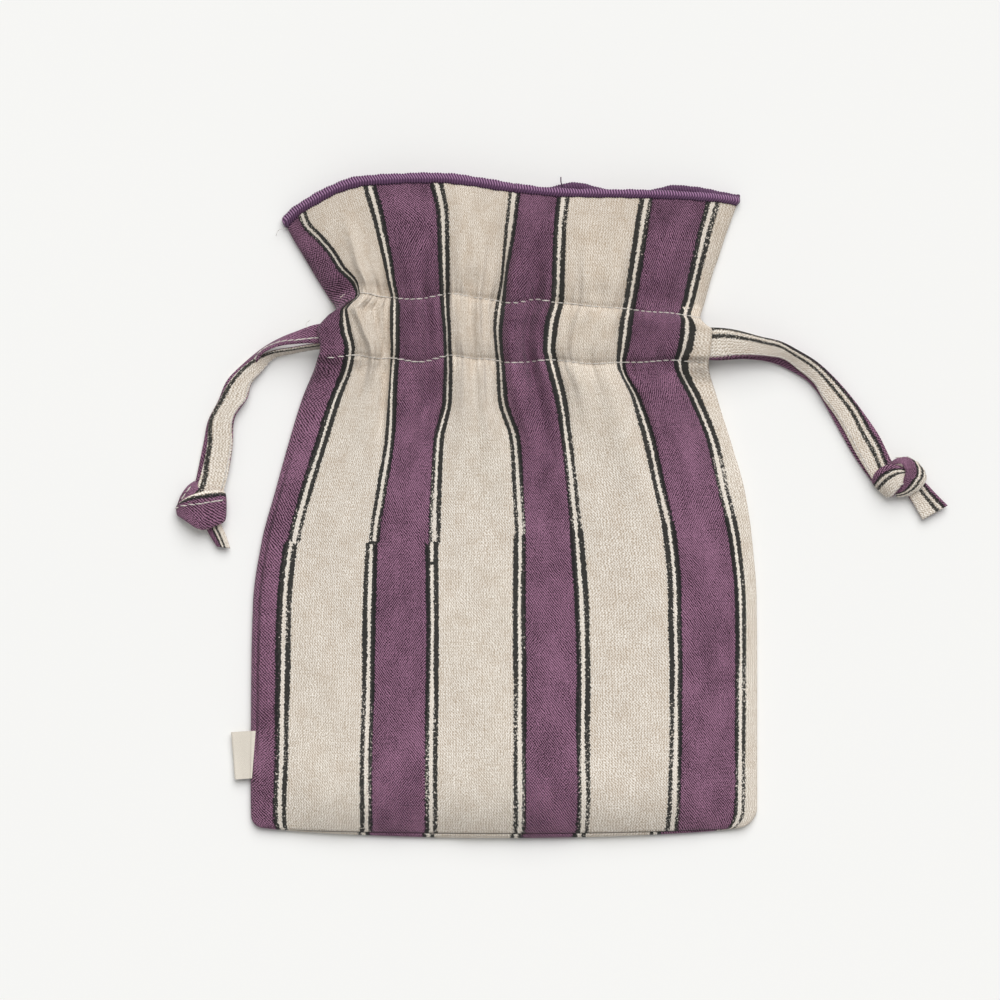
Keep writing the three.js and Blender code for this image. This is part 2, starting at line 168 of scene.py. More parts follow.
# Gathers of the front: place across the flat cloth at the upper row, its shift down to the lower row and
# for each millimetre above the upper row, half width on the left and right, height, and reach below and
# above the casing.
FOLDS = (
    (-97.0, 0.0, 0.0, 4.0, 4.0, 1.2, 25.0, 20.0),
    (-89.0, 0.0, 0.0, 2.4, 2.2, -2.4, 30.0, 22.0),
    (-83.0, 10.5, 0.4, 2.8, 5.0, 3.4, 9.0, 22.0),
    (-69.0, 5.8, 0.0, 2.4, 3.0, -2.2, 8.0, 6.0),
    (-60.0, 0.0, 0.0, 3.4, 1.7, -3.6, 34.0, 8.0),
    (-46.0, 0.0, 0.0, 8.0, 6.0, 2.4, 40.0, 40.0),
    (-39.0, 0.0, 0.0, 2.2, 2.2, -1.6, 22.0, 14.0),
    (-34.0, 0.0, 0.0, 2.4, 2.4, 1.0, 20.0, 16.0),
    (-28.8, 0.0, 0.0, 2.6, 2.6, -2.0, 35.0, 30.0),
    (-18.0, 0.0, 0.0, 6.0, 5.0, 2.8, 45.0, 35.0),
    (-6.0, 0.0, 0.0, 4.0, 1.8, 2.2, 26.0, 20.0),
    (4.5, 0.0, 0.0, 3.2, 3.4, -3.4, 48.0, 42.0),
    (13.0, 0.0, 0.0, 4.0, 3.6, 3.0, 40.0, 35.0),
    (21.0, 0.0, 0.0, 2.2, 2.2, -2.8, 20.0, 14.0),
    (26.6, 0.0, 0.0, 2.6, 2.6, 1.8, 30.0, 25.0),
    (31.5, 0.0, 0.0, 2.4, 2.2, -2.0, 40.0, 25.0),
    (43.0, -3.0, 0.0, 2.4, 5.0, 2.6, 18.0, 18.0),
    (54.0, 0.0, 0.0, 6.0, 6.0, 2.0, 50.0, 40.0),
    (63.4, 0.0, 0.0, 3.2, 2.8, -3.4, 50.0, 32.0),
    (78.0, 0.0, 0.0, 8.0, 8.0, 2.8, 55.0, 45.0),
    (92.0, 0.0, 0.0, 2.8, 2.8, -2.2, 42.0, 30.0),
    (97.5, 0.0, 0.0, 3.0, 3.0, 1.0, 25.0, 20.0),
)

# Soft hollows beside the rows: place across and along, half widths across and along, and depth.
HOLLOWS = (
    (-44.0, 223.0, 8.0, 5.0, 1.5),
    (-10.0, 223.0, 7.0, 4.0, 1.0),
    (20.0, 225.0, 8.0, 6.0, 1.8),
    (48.0, 222.0, 6.0, 4.0, 0.9),
    (78.0, 222.0, 7.0, 4.0, 1.4),
    (-65.0, 189.5, 4.0, 3.0, 1.8),
    (-62.5, 196.0, 1.3, 3.4, 2.6),
    (-42.0, 187.0, 8.0, 4.0, 0.9),
    (20.0, 187.0, 7.0, 4.0, 0.9),
    (71.0, 185.5, 6.0, 4.0, 1.8),
)

# Cloth drawn together into a fold: place across, half width, share drawn in, place along and reach along.
PINCHES = (
    (-89.0, 5.0, 0.74, 217.5, 6.0),
    (-90.0, 5.0, 0.30, 242.0, 18.0),
    (-58.0, 5.0, 0.55, 184.0, 14.0),
    (-28.8, 5.0, 0.30, 200.0, 16.0),
    (5.6, 5.0, 0.58, 226.0, 11.0),
    (5.6, 5.0, 0.30, 196.0, 14.0),
    (63.6, 5.0, 0.52, 185.0, 11.0),
    (92.8, 4.5, 0.30, 190.0, 10.0),
)

# Where the cloth would start and stop following a drawn string, across the pouch.
RIGHT_DRAW = (6.6, 83.2)
LEFT_DRAW = (-2.6, -72.4)
DRAW_FOOT = -80.0

# The tape: its width, the camber of its tails, and its printed lines as a place round it and a half width.
TAPE_WIDTH = 10.4
TAIL_CAMBER = 0.15
TAPE_LINES = ((0.1, 0.07), (0.36, 0.075))

# Tape stations: both edges of the tape, x, y, z each, from the casing outwards.
LEFT_UPPER = (
    (-66.0, 65.5, 6.5, -66.0, 63.6, 2.4),
    (-74.6, 64.6, 7.6, -74.2, 63.0, 1.4),
    (-84.5, 63.0, 6.4, -84.3, 61.2, 0.9),
    (-93.8, 61.3, 4.9, -92.1, 59.0, 1.0),
    (-101.8, 57.3, 4.0, -96.5, 53.7, 1.8),
    (-109.4, 50.0, 3.3, -101.1, 48.4, 2.8),
    (-113.7, 42.4, 2.7, -102.4, 43.1, 3.0),
    (-117.7, 34.4, 2.6, -107.4, 35.4, 3.0),
    (-118.7, 23.8, 2.6, -108.4, 23.8, 2.7),
    (-121.3, 11.9, 2.7, -110.4, 11.9, 2.9),
    (-122.7, 7.2, 3.2, -112.0, 5.9, 3.2),
    (-124.0, 1.0, 3.4, -114.0, -0.5, 3.4),
)
LEFT_LOWER = (
    (-66.0, 72.5, 9.4, -66.0, 64.8, 9.0),
    (-74.6, 72.3, 9.6, -74.9, 64.8, 9.0),
    (-81.9, 69.9, 8.4, -83.2, 64.4, 8.6),
    (-89.8, 66.5, 3.4, -91.1, 63.4, 8.4),
    (-96.5, 62.6, 1.0, -97.0, 60.4, 6.2),
    (-104.6, 56.5, 0.8, -100.5, 51.5, 1.4),
    (-110.4, 50.6, 0.8, -101.5, 47.0, 0.9),
    (-114.2, 42.2, 0.8, -104.0, 41.0, 0.9),
    (-118.4, 33.8, 0.8, -108.6, 33.6, 0.9),
    (-120.0, 26.0, 0.9, -110.0, 25.5, 0.9),
    (-123.2, 10.5, 1.0, -112.5, 11.0, 1.0),
    (-124.5, 5.0, 1.3, -114.0, 4.5, 1.3),
    (-125.0, 0.0, 1.8, -115.0, -1.0, 1.8),
)
RIGHT_UPPER = (
    (73.0, 70.6, 9.6, 73.0, 59.0, 9.0),
    (82.6, 71.0, 9.8, 83.0, 58.3, 8.4),
    (91.7, 70.2, 9.6, 95.0, 59.3, 7.8),
    (102.9, 67.3, 9.0, 104.9, 59.2, 6.4),
    (110.2, 65.6, 8.0, 111.6, 58.3, 4.6),
    (118.2, 61.6, 6.4, 118.2, 53.7, 3.0),
    (124.8, 57.6, 4.9, 123.5, 49.0, 2.7),
    (131.5, 51.7, 3.6, 127.5, 42.4, 2.8),
    (138.1, 44.4, 2.8, 131.5, 37.1, 2.9),
    (144.7, 35.7, 2.7, 135.4, 30.8, 2.9),
    (150.0, 27.8, 2.7, 140.1, 21.8, 3.0),
    (154.7, 18.2, 3.2, 145.1, 13.5, 3.2),
    (157.5, 13.0, 3.4, 148.5, 8.5, 3.4),
)
RIGHT_LOWER = (
    (73.0, 68.6, 3.8, 73.0, 59.6, 3.4),
    (83.0, 68.6, 3.8, 84.0, 58.0, 3.2),
    (93.0, 68.0, 3.4, 96.3, 58.5, 2.4),
    (103.5, 65.0, 2.4, 107.0, 57.1, 1.4),
    (114.0, 60.5, 1.2, 115.8, 53.2, 0.9),
    (123.0, 55.0, 0.9, 121.4, 49.6, 0.9),
    (130.0, 48.6, 0.9, 125.6, 44.8, 0.9),
    (136.5, 42.0, 0.9, 129.6, 38.0, 0.9),
    (143.2, 34.0, 0.9, 134.2, 29.8, 0.9),
    (150.0, 26.6, 0.9, 139.7, 20.2, 0.9),
    (155.0, 17.6, 1.2, 145.7, 11.4, 1.2),
    (157.8, 12.0, 1.8, 149.0, 7.0, 1.8),
)
LEFT_WRAP = (
    (-127.5, -1.0, 0.9, -126.0, -5.6, 0.9),
    (-130.0, 0.4, 2.6, -129.4, -4.4, 2.4),
    (-127.3, 2.9, 5.0, -126.6, -6.6, 4.6),
    (-121.0, 5.4, 6.4, -121.0, -9.8, 5.2),
    (-115.5, 6.2, 6.2, -115.5, -8.4, 5.0),
    (-112.2, 5.8, 4.0, -112.2, -6.6, 3.4),
    (-112.6, 4.6, 1.7, -113.0, -5.6, 1.6),
    (-115.0, 4.0, 0.9, -115.4, -5.0, 0.9),
)
LEFT_CROSS = (
    (-124.4, 9.4, 1.2, -120.6, 6.4, 1.6),
    (-126.4, 7.8, 2.8, -122.3, 4.4, 4.4),
    (-129.0, 4.2, 2.8, -124.6, 1.4, 4.6),
    (-130.4, 0.8, 1.4, -127.2, -1.4, 2.4),
)
LEFT_TAIL_UPPER = (
    (-119.5, -5.0, 2.6, -112.8, -3.6, 2.6),
    (-118.9, -9.4, 2.2, -113.2, -7.2, 2.0),
    (-117.2, -12.7, 1.9, -111.4, -11.2, 1.9),
    (-114.8, -16.4, 1.8, -109.4, -17.2, 1.8),
)
LEFT_TAIL_LOWER = (
    (-120.0, -4.6, 1.2, -113.6, -3.4, 1.2),
    (-119.2, -9.0, 0.9, -113.8, -7.2, 0.9),
    (-117.0, -12.4, 0.7, -112.2, -11.0, 0.7),
    (-115.2, -15.4, 0.7, -110.2, -15.8, 0.7),
)
RIGHT_WRAP = (
    (150.5, 12.0, 0.9, 156.5, 5.5, 0.9),
    (147.2, 10.6, 2.4, 154.2, 3.6, 2.2),
    (148.2, 13.2, 4.6, 155.4, 3.6, 4.2),
    (150.8, 15.4, 5.8, 157.0, 5.4, 5.4),
    (154.8, 16.4, 6.2, 158.8, 7.8, 5.6),
    (159.4, 15.4, 5.2, 160.2, 9.8, 5.0),
    (162.6, 13.8, 3.4, 162.6, 10.4, 3.2),
)
RIGHT_LOOP = (
    (154.4, 17.0, 3.0, 155.4, 15.2, 3.2),
    (157.0, 18.6, 4.2, 157.8, 15.9, 6.0),
    (160.6, 19.1, 4.4, 159.4, 15.3, 7.2),
    (164.4, 17.6, 4.4, 160.1, 14.3, 7.6),
    (167.4, 14.8, 4.2, 160.2, 13.0, 7.6),
    (168.8, 11.6, 4.0, 159.9, 11.8, 7.4),
    (167.8, 8.6, 3.8, 159.4, 10.6, 6.8),
    (165.2, 6.0, 3.6, 158.9, 9.0, 5.8),
    (161.4, 4.2, 3.0, 158.0, 7.4, 4.4),
    (157.6, 3.4, 2.0, 156.4, 6.2, 2.6),
)
RIGHT_TAIL_UPPER = (
    (167.0, 10.6, 3.2, 162.0, 6.4, 3.4),
    (169.0, 8.6, 2.6, 161.8, 4.6, 2.8),
    (172.8, 4.6, 2.0, 164.2, -0.2, 2.1),
    (177.4, 0.0, 1.9, 167.3, -5.7, 1.9),
)
RIGHT_TAIL_LOWER = (
    (166.0, 10.0, 1.2, 161.6, 6.2, 1.2),
    (168.4, 7.8, 0.9, 161.6, 4.0, 0.9),
    (171.8, 4.0, 0.7, 164.6, -0.6, 0.7),
    (176.0, 0.0, 0.7, 167.6, -4.8, 0.7),
)

# Lanes of the tapes inside the casing, the length over which a strand settles into its lane, and the turn
# at each far end.
LEFT_LANE = 70.4
RIGHT_LANE = 62.3
LANE_HALF = 3.9
LANE_LEAD = 18.0
FRONT_TAPE = 8.7
BACK_TAPE = 3.5
LEFT_BIGHT = 76.0
RIGHT_BIGHT = -65.0

# Casing strips: hem past the stitch rows, reach of a row's hold and gap to the panel. Seam allowances: near
# and far edge from the seam, and thickness.
CASING_HEM = 3.0
CASING_SEWN = 2.6
CASING_GAP = 0.8
ALLOWANCE_NEAR = 1.2
ALLOWANCE_FAR = 8.0
ALLOWANCE_THICK = 1.1

# The label's outer and inner ends, each from the bottom to the top, how high it lies on the front, and half
# the gap between its layers.
LABEL_OUTER = ((-107.3, -109.5), (-108.8, -90.6))
LABEL_INNER = ((-100.7, -109.0), (-99.2, -90.0))
LABEL_CAUGHT = 3.6
LABEL_GAP = 0.45

# The stage: width of the window light in degrees, its direction, the room's colour and the floor's level.
WINDOW_ANGLE = 56.0
WINDOW_WAY = (-0.22, -0.85, -1.0)
ROOM_COLOUR = (1.0, 0.995, 0.985, 1.0)
FLOOR_LEVEL = -0.0003


def length_setting(name, description, default):
    """A length that the sidebar shows."""
    return FloatProperty(name=name, description=description, default=default, unit="LENGTH")


def colour_setting(name, description, default):
    """A colour that the sidebar shows."""
    return FloatVectorProperty(name=name, description=description, default=default, subtype="COLOR")


class PouchSizes(bpy.types.PropertyGroup):
    """Sizes of the cloth, thread and tape."""

    cloth_thickness: length_setting("Cloth thickness", "Thickness of the linen", 0.0005)
    body_height: length_setting("Body height", "How high the body stands when empty", 0.0115)
    neck_height: length_setting("Neck height", "Height of the casing over its tapes", 0.0144)
    fold_share: FloatProperty(
        name="Fold share", description="How far the gathers stand, as a share of their full height",
        default=1.0, subtype="FACTOR")
    seam_height: length_setting("Seam height", "Height at which the two panels meet", 0.0014)
    stitch_length: length_setting("Stitch length", "Length of thread that one stitch shows", 0.0033)
    stitch_pitch: length_setting("Stitch pitch", "Cloth that one stitch takes up", 0.0032)
    thread_thickness: length_setting("Thread thickness", "Diameter of the sewing thread", 0.00055)
    overlock_width: length_setting("Overlock width", "Width of the wrapped edge of the mouth", 0.0036)
    overlock_thickness: length_setting("Overlock thickness", "Thickness of the wrapped edge", 0.0021)
    wrap_pitch: length_setting("Wrap pitch", "Distance between two wraps of the overlock", 0.00108)
    tape_thickness: length_setting("Tape thickness", "Thickness of the folded tape", 0.0013)
    knot_thickness: length_setting("Knot layer", "Thickness of a tape layer in a knot", 0.0024)


class PouchColours(bpy.types.PropertyGroup):
    """Colours of the cloth, print, thread, label and floor."""

    linen: colour_setting("Linen", "Bright threads of the undyed linen", (0.95, 0.895, 0.815))
    linen_dark: colour_setting("Linen shade", "Dark threads of the undyed linen", (0.47, 0.385, 0.295))
    # Painted shade: this tan also darkens the linen towards the gathered neck.
    linen_fleck_and_neck_shade: colour_setting("Linen fleck", "Specks of bark in the yarn", (0.42, 0.30, 0.19))
    plum: colour_setting("Plum", "Dark threads of the plum stripes", (0.018, 0.004, 0.012))
    plum_light: colour_setting("Plum glint", "Bright threads of the plum stripes", (0.375, 0.182, 0.29))
    # Also the colour of the painted shade in the pressed creases.
    ink: colour_setting("Line ink", "Printed dark lines", (0.012, 0.013, 0.012))
    thread: colour_setting("Thread", "Sewing thread", (0.66, 0.62, 0.57))
    overlock: colour_setting("Overlock thread", "Thread of the mouth's edge", (0.085, 0.036, 0.085))
    overlock_light: colour_setting("Overlock glint", "Shine of that thread", (0.38, 0.2, 0.355))
    label: colour_setting("Label", "Woven label tape", (0.80, 0.74, 0.645))
    floor: colour_setting("Floor", "Plain pale floor", (0.925, 0.925, 0.91))


class PouchStage(bpy.types.PropertyGroup):
    """Camera and lamps."""

    field: length_setting("Field", "Width that the camera sees", 0.4)
    camera_height: length_setting("Camera height", "Camera above the floor", 3.0)
    centre_x: length_setting("Centre across", "Place under the camera, across", -0.0016)
    centre_y: length_setting("Centre along", "Place under the camera, along", 0.0022)
    sun: FloatProperty(name="Window light", description="Strength of the soft window light", default=2.7)
    sky: FloatProperty(name="Room light", description="Strength of the room's even light", default=0.36)


# Curves and small helpers

def smooth(value, low, high):
    """Eased step from 0 at low to 1 at high."""
    share = np.clip((np.asarray(value, float) - low) / (high - low), 0.0, 1.0)
    return share * share * (3.0 - 2.0 * share)


def plateau(value, rise_from, rise_to, fall_from, fall_to):
    """One between two eased slopes, zero outside them."""
    return smooth(value, rise_from, rise_to) * (1.0 - smooth(value, fall_from, fall_to))


def hump(off, half):
    """Bell curve: one in the middle, fading over the half width."""
    return np.exp(-((off / half) ** 2))


def quarter_round(value):
    """Rounded step from 0 to 1."""
    share = np.clip(value, 0.0, 1.0)
    return np.sqrt(1.0 - (1.0 - share) ** 2)


def curve_through(knots, values, at, steady=False):
    """Smooth curve through values at knots. A steady curve never overshoots its values."""
    knots = np.asarray(knots, float)
    values = np.asarray(values, float)
    column = (-1,) + (1,) * (values.ndim - 1)
    gaps = np.diff(knots)
    step = gaps.reshape(column)
    slope = np.diff(values, axis=0) / step
    bend = np.zeros_like(values)
    bend[0] = slope[0]
    bend[-1] = slope[-1]
    if steady:
        product = slope[:-1] * slope[1:]
        total = np.where(product > 0, slope[:-1] + slope[1:], 1.0)
        bend[1:-1] = np.where(product > 0, 2.0 * product / total, 0.0)
    else:
        bend[1:-1] = (slope[:-1] * step[1:] + slope[1:] * step[:-1]) / (step[:-1] + step[1:])
    at = np.atleast_1d(np.asarray(at, float))
    cell = np.clip(np.searchsorted(knots, at, side="right") - 1, 0, len(knots) - 2)
    share = ((at - knots[cell]) / gaps[cell]).reshape(column)
    square = share * share
    cube = square * share
    start = (2 * cube - 3 * square + 1) * values[cell] + (cube - 2 * square + share) * bend[cell] * step[cell]
    finish = (3 * square - 2 * cube) * values[cell + 1] + (cube - square) * bend[cell + 1] * step[cell]
    return start + finish


def unit(vectors):
    """Vectors at length one."""
    lengths = np.linalg.norm(vectors, axis=-1, keepdims=True)
    return vectors / np.maximum(lengths, 1e-9)


def walked(points):
    """Length walked along a line, at each of its points."""
    return np.concatenate([[0.0], np.cumsum(np.linalg.norm(np.diff(points, axis=0), axis=1))])


def flat_grid(columns, rows):
    """Flat coordinates of a grid of cloth, in metres."""
    return np.stack(np.meshgrid(columns, rows), axis=-1) * MM


def grid_normals(points):
    """Normals of a grid of points, turned towards columns crossed with rows."""
    return unit(np.cross(np.gradient(points, axis=1), np.gradient(points, axis=0)))


def rolled_height(across):
    """Height of the back's cloth that rolls to the front, for numbers and for shader values."""
    share = across / ROLL_HALF
    return (1.0 - share * share) * BOTTOM_ROLL


def settings():
    """The scene's sizes, colours and stage values."""
    scene = bpy.context.scene
    return scene.pouch_sizes, scene.pouch_colours, scene.pouch_stage


def add_object(name, bm, *materials):
    """Turns a bmesh into a smooth object at the origin."""
    mesh = bpy.data.meshes.new(name)
    bm.to_mesh(mesh)
    bm.free()
    mesh.polygons.foreach_set("use_smooth", [True] * len(mesh.polygons))
    for material in materials:
        mesh.materials.append(material)
    piece = bpy.data.objects.new(name, mesh)
    bpy.context.scene.collection.objects.link(piece)
    return piece


# Shader helpers

class Value:
    """A shader value. Sums, products and comparisons of values become nodes."""

    def __init__(self, wires, socket):
        self.wires = wires
        self.socket = socket

    def __add__(self, other):
        return self.wires.math("ADD", self, other)

    def __radd__(self, other):
        return self.wires.math("ADD", other, self)

    def __sub__(self, other):
        return self.wires.math("SUBTRACT", self, other)

    def __rsub__(self, other):
        return self.wires.math("SUBTRACT", other, self)

    def __mul__(self, other):
        return self.wires.math("MULTIPLY", self, other)

    def __truediv__(self, other):
        return self.wires.math("DIVIDE", self, other)

    def __rtruediv__(self, other):
        return self.wires.math("DIVIDE", other, self)

    def __lt__(self, other):
        return self.wires.math("LESS_THAN", self, other)

    def __gt__(self, other):
        return self.wires.math("GREATER_THAN", self, other)

    def __abs__(self):
        return self.wires.math("ABSOLUTE", self)


class Wiring:
    """Adds nodes to a tree and joins them."""

    def __init__(self, tree):
        self.tree = tree

    def add(self, kind, **options):
        node = self.tree.nodes.new(kind)
        for name, value in options.items():
            setattr(node, name, value)
        return node

    def feed(self, socket, value):
        if isinstance(value, Value):
            self.tree.links.new(value.socket, socket)
        elif socket.type == "RGBA":
            socket.default_value = (*value, 1.0)
        else:
            socket.default_value = value

    def take(self, node, values, output=0):
        for socket, value in values:
            self.feed(node.inputs[socket], value)
        return Value(self, node.outputs[output])

    def math(self, operation, first, second=0.0, clamp=False):
        node = self.add("ShaderNodeMath", operation=operation, use_clamp=clamp)
        return self.take(node, ((0, first), (1, second)))

    def sine(self, value):
        return self.math("SINE", value)

    def larger(self, first, second):
        return self.math("MAXIMUM", first, second)

    def ramp(self, value, low, high):
        node = self.add("ShaderNodeMapRange", interpolation_type="SMOOTHSTEP")
        return self.take(node, ((0, value), (1, low), (2, high)))

    def scale(self, vector, factors):
        node = self.add("ShaderNodeVectorMath", operation="MULTIPLY")
        return self.take(node, ((0, vector), (1, factors)))

    def noise(self, vector, scale, detail=2.0, roughness=0.5):
        """Noise from 0 to 1 over a vector scaled in two or three directions."""
        scaled = self.scale(vector, (*scale, 1.0)[:3])
        node = self.add("ShaderNodeTexNoise", noise_dimensions="3D")
        values = (("Vector", scaled), ("Scale", 1.0), ("Detail", detail), ("Roughness", roughness))
        return self.take(node, values)

    def mix(self, share, first, second):
        node = self.add("ShaderNodeMix", data_type="RGBA", clamp_factor=True)
        return self.take(node, ((0, share), (6, first), (7, second)), 2)

    def split(self, vector):
        node = self.add("ShaderNodeSeparateXYZ")
        self.feed(node.inputs[0], vector)
        return [Value(self, output) for output in node.outputs]

    def group(self, tree, **inputs):
        node = self.add("ShaderNodeGroup", node_tree=tree)
        for name, value in inputs.items():
            self.feed(node.inputs[name], value)
        return {output.name: Value(self, output) for output in node.outputs}

    def map(self, layer):
        return Value(self, self.add("ShaderNodeUVMap", uv_map=layer).outputs[0])

    def place(self):
        return Value(self, self.add("ShaderNodeTexCoord").outputs["Object"])


def shader_group(name, inputs, outputs, wire):
    """The shader group of that name, made and wired at its first use."""
    if name in bpy.data.node_groups:
        return bpy.data.node_groups[name]
    tree = bpy.data.node_groups.new(name, "ShaderNodeTree")
    for title, kind in inputs:
        tree.interface.new_socket(title, in_out="INPUT", socket_type=kind)
    for title in outputs:
        tree.interface.new_socket(title, in_out="OUTPUT", socket_type="NodeSocketFloat")
    wires = Wiring(tree)
    source = wires.add("NodeGroupInput").outputs
    result = wires.add("NodeGroupOutput").inputs
    given = [Value(wires, source[title]) for title, _ in inputs]
    for title, value in zip(outputs, wire(wires, *given)):
        wires.feed(result[title], value)
    return tree


def fabric(name, wire, **options):
    """The material of that name, made and wired at its first use."""
    if name in bpy.data.materials:
        return bpy.data.materials[name]
    material = bpy.data.materials.new(name)
    material.use_nodes = True
    shader = material.node_tree.nodes["Principled BSDF"]
    shader.inputs["Specular IOR Level"].default_value = 0.25
    wire(Wiring(material.node_tree), shader.inputs, settings()[1], **options)
    return material


def wire_weave(wires, cloth, pitch):
    """Weave of slubby yarn: its relief, its threads under print and bare, and its flecks."""
    across, along, _ = wires.split(cloth)
    turn = math.sqrt(2.0) * math.pi / pitch
    sway = wires.noise(cloth, (0.25, 0.25), 1.0) * 1.6 + wires.noise(cloth, (0.8, 0.8), 1.0) * 0.8
    warp = wires.sine((across + sway) * (2.0 * math.pi / WARP_SPACING))
    over = across * RIB_ACROSS + sway
    up = along * RIB_ALONG
    rising = wires.sine((over - up) * turn)
    falling = wires.sine((over + up) * turn)
    lean = wires.ramp(wires.noise(cloth, (0.035, 0.035), 1.0), 0.3, 0.7) * 0.5 + 0.17
    ribs = falling + lean * (rising - falling)
    grain = wires.noise(cloth, (1.6, 1.6), 2.0, 0.7) - 0.5
    slub = wires.noise(cloth, (1.1, 0.12)) + wires.noise(cloth, (0.12, 1.1)) - 1.0
    mixed = grain * 2.6 + slub * 0.4 + 0.5
    relief = ribs * 0.35 + (slub + grain)
    printed = wires.math("ADD", mixed, ribs * PRINTED_RIBS, clamp=True)
    bare = wires.math("ADD", mixed, warp * BARE_WARP + ribs * BARE_RIBS, clamp=True)
    fleck = wires.ramp(wires.noise(cloth, (0.9, 0.9), 3.0, 0.75), 0.6, 0.72)
    return relief, printed, bare, fleck


def woven(wires, cloth, pitch):
    """The weave's values over a cloth."""
    inputs = (("Cloth", "NodeSocketVector"), ("Pitch", "NodeSocketFloat"))
    tree = shader_group("linen_weave", inputs, ("Relief", "Tone", "Bare", "Fleck"), wire_weave)
    return wires.group(tree, Cloth=cloth, Pitch=pitch)


def painted_crease_shade(wires, cloth):
    """Mask of the painted shade in the pressed lines beside the left side seam and over the bottom seam."""
    across, along, _ = wires.split(cloth)
    roll = rolled_height(across)
    bottom = wires.ramp(abs(along - roll), 0.4, 0.1) * wires.ramp(roll, 0.2, 0.7)
    side = wires.ramp(abs(across + (HALF_CLOTH - SIDE_CREASE)), 0.55, 0.1) * wires.ramp(along, 22.0, 46.0)
    side = side * wires.ramp(along, 165.0, 135.0)
    return wires.larger(bottom, side * 0.7)


def wire_stripes(wires, cloth):
    """Block print: masks of plum stripes, pairs of dry-brushed lines and the gaps between them."""
    across, along, _ = wires.split(cloth)
    uneven = wires.noise(cloth, (0.4, 0.0), 1.0) - 0.5
    joint = wires.larger(across + JOINT_FROM, 0.0) * JOINT_SLOPE + BLOCK_JOINT + uneven * 4.0
    rolled = along < rolled_height(across)
    drift = wires.noise(cloth, (0.03, 0.018), 1.0) - 0.5
    rough = wires.noise(cloth, (1.1, 1.0), 2.0, 0.75) - 0.5
    above = along - joint + rough * 3.0
    lower_block = above < 0.0
    step = wires.ramp(across, 30.0, -40.0) * BLOCK_STEP
    missed = (wires.ramp(across, 40.0, 60.0) * 5.0 + 1.0) * ROLL_STEP
    place = across + drift * 1.4 + (lower_block - 0.5) * step + rolled * missed
    nearest = 1000.0
    side = 1.0
    for middle in LINE_PAIRS:
        off = place - middle
        nearest = wires.math("MINIMUM", abs(off), nearest)
        side = wires.math("SIGN", off) * side
    bars = 0.0
    for middle, height in CROSS_BARS:
        rise = abs(along - height) + rough * 1.2
        bars = wires.larger((abs(place - middle) < BAR_HALF) * (rise < BAR_RISE), bars)
    ragged = nearest + rough * 2.2
    patchy = wires.noise(cloth, (0.31, 0.03), 1.0) - 0.5
    faded = wires.ramp(along, UPPER_ROW + 3.0, MOUTH - 6.0) * 0.6
    dry = wires.ramp(above, 0.0, 60.0) * 0.75 + 0.62 - faded
    wet = wires.ramp(above, -105.0, -25.0) * 0.5 + 0.68
    load = dry + lower_block * (wet - dry) + patchy * 2.2
    neck = wires.ramp(along, CASING_LOW - 25.0, CASING_LOW + 15.0)
    half = load * 0.36 + neck * 0.1 + LINE_HALF
    middle = LINE_OFF + neck * 0.22
    solid = wires.ramp(half - abs(ragged - middle), -0.05, 0.1)
    held = wires.noise(cloth, (1.2, 0.9), 2.0, 0.75) + load * 0.17
    ink = wires.larger(solid * wires.ramp(held, 0.46, 0.56), bars)
    edge = middle + drift * 1.8 + (1.0 - load) * 0.45
    plum = (side < 0.0) * (ragged > edge)
    return plum, ink, 1.0 - wires.ramp(ragged, 1.6, 3.2)


def striped(wires, cloth):
    """The print's masks over a cloth."""
    inputs = [("Cloth", "NodeSocketVector")]
    tree = shader_group("stripe_print", inputs, ("Plum", "Ink", "Gap"), wire_stripes)
    return wires.group(tree, Cloth=cloth)


def raise_threads(wires, inputs, relief, distance, strength=0.6):
    """Lifts a surface by a relief value."""
    bump = wires.add("ShaderNodeBump")
    values = (("Strength", strength), ("Distance", distance), ("Height", relief))
    wires.feed(inputs["Normal"], wires.take(bump, values))


def linen_colours(wires, cloth, colours, weave):
    """Linen and plum as they vary over the cloth, with painted shade towards the gathered neck: tan linen,
    darker plum.
    """
    linen = wires.mix(weave["Bare"], colours.linen_dark, colours.linen)
    mottle = wires.noise(cloth, (0.07, 0.045), 3.0, 0.6)
    # Painted shade: the linen turns tan and the plum darker towards the gathered neck.
    neck = wires.ramp(wires.split(cloth)[1], SHOULDER + 40.0, UPPER_ROW)
    blotch = wires.ramp(wires.noise(cloth, (0.16, 0.13), 2.0, 0.6), 0.4, 0.75)
    tan_and_neck_shade = wires.larger(neck * 0.2 + blotch * 0.22, weave["Fleck"] * 0.4)
    linen = wires.mix(tan_and_neck_shade, linen, colours.linen_fleck_and_neck_shade)
    thin_dye_and_neck_shade = wires.math("SUBTRACT", weave["Tone"] + (mottle - 0.52), neck * 0.16, clamp=True)
    return linen, wires.mix(thin_dye_and_neck_shade, colours.plum, colours.plum_light)


def finish_linen(wires, inputs, colour, weave, sheen=LINEN_SHEEN):
    """Colour, dull threads and relief of a linen."""
    wires.feed(inputs["Base Color"], colour)
    wires.feed(inputs["Roughness"], 0.95 - weave["Tone"] * 0.15)
    wires.feed(inputs["Sheen Weight"], sheen)
    raise_threads(wires, inputs, weave["Relief"], LINEN_RELIEF)


def wire_printed(wires, inputs, colours, reverse=False):
    """Block-printed linen, or its paler wrong side."""
    cloth = wires.scale(wires.map("cloth"), TO_MM)
    weave = woven(wires, cloth, RIB_SPACING)
    printed = striped(wires, cloth)
    linen, plum = linen_colours(wires, cloth, colours, weave)
    cream = wires.mix(printed["Gap"] * 0.35, linen, colours.linen)
    ground = wires.mix(printed["Plum"], cream, plum)
    # Painted shade: the pressed creases darken towards the ink colour.
    ground = wires.mix(painted_crease_shade(wires, cloth) * 0.6, ground, colours.ink)
    inked = wires.mix(printed["Ink"] * INK_COVER, ground, colours.ink)
    if reverse:
        inked = wires.mix(0.5, inked, linen)
    finish_linen(wires, inputs, inked, weave)


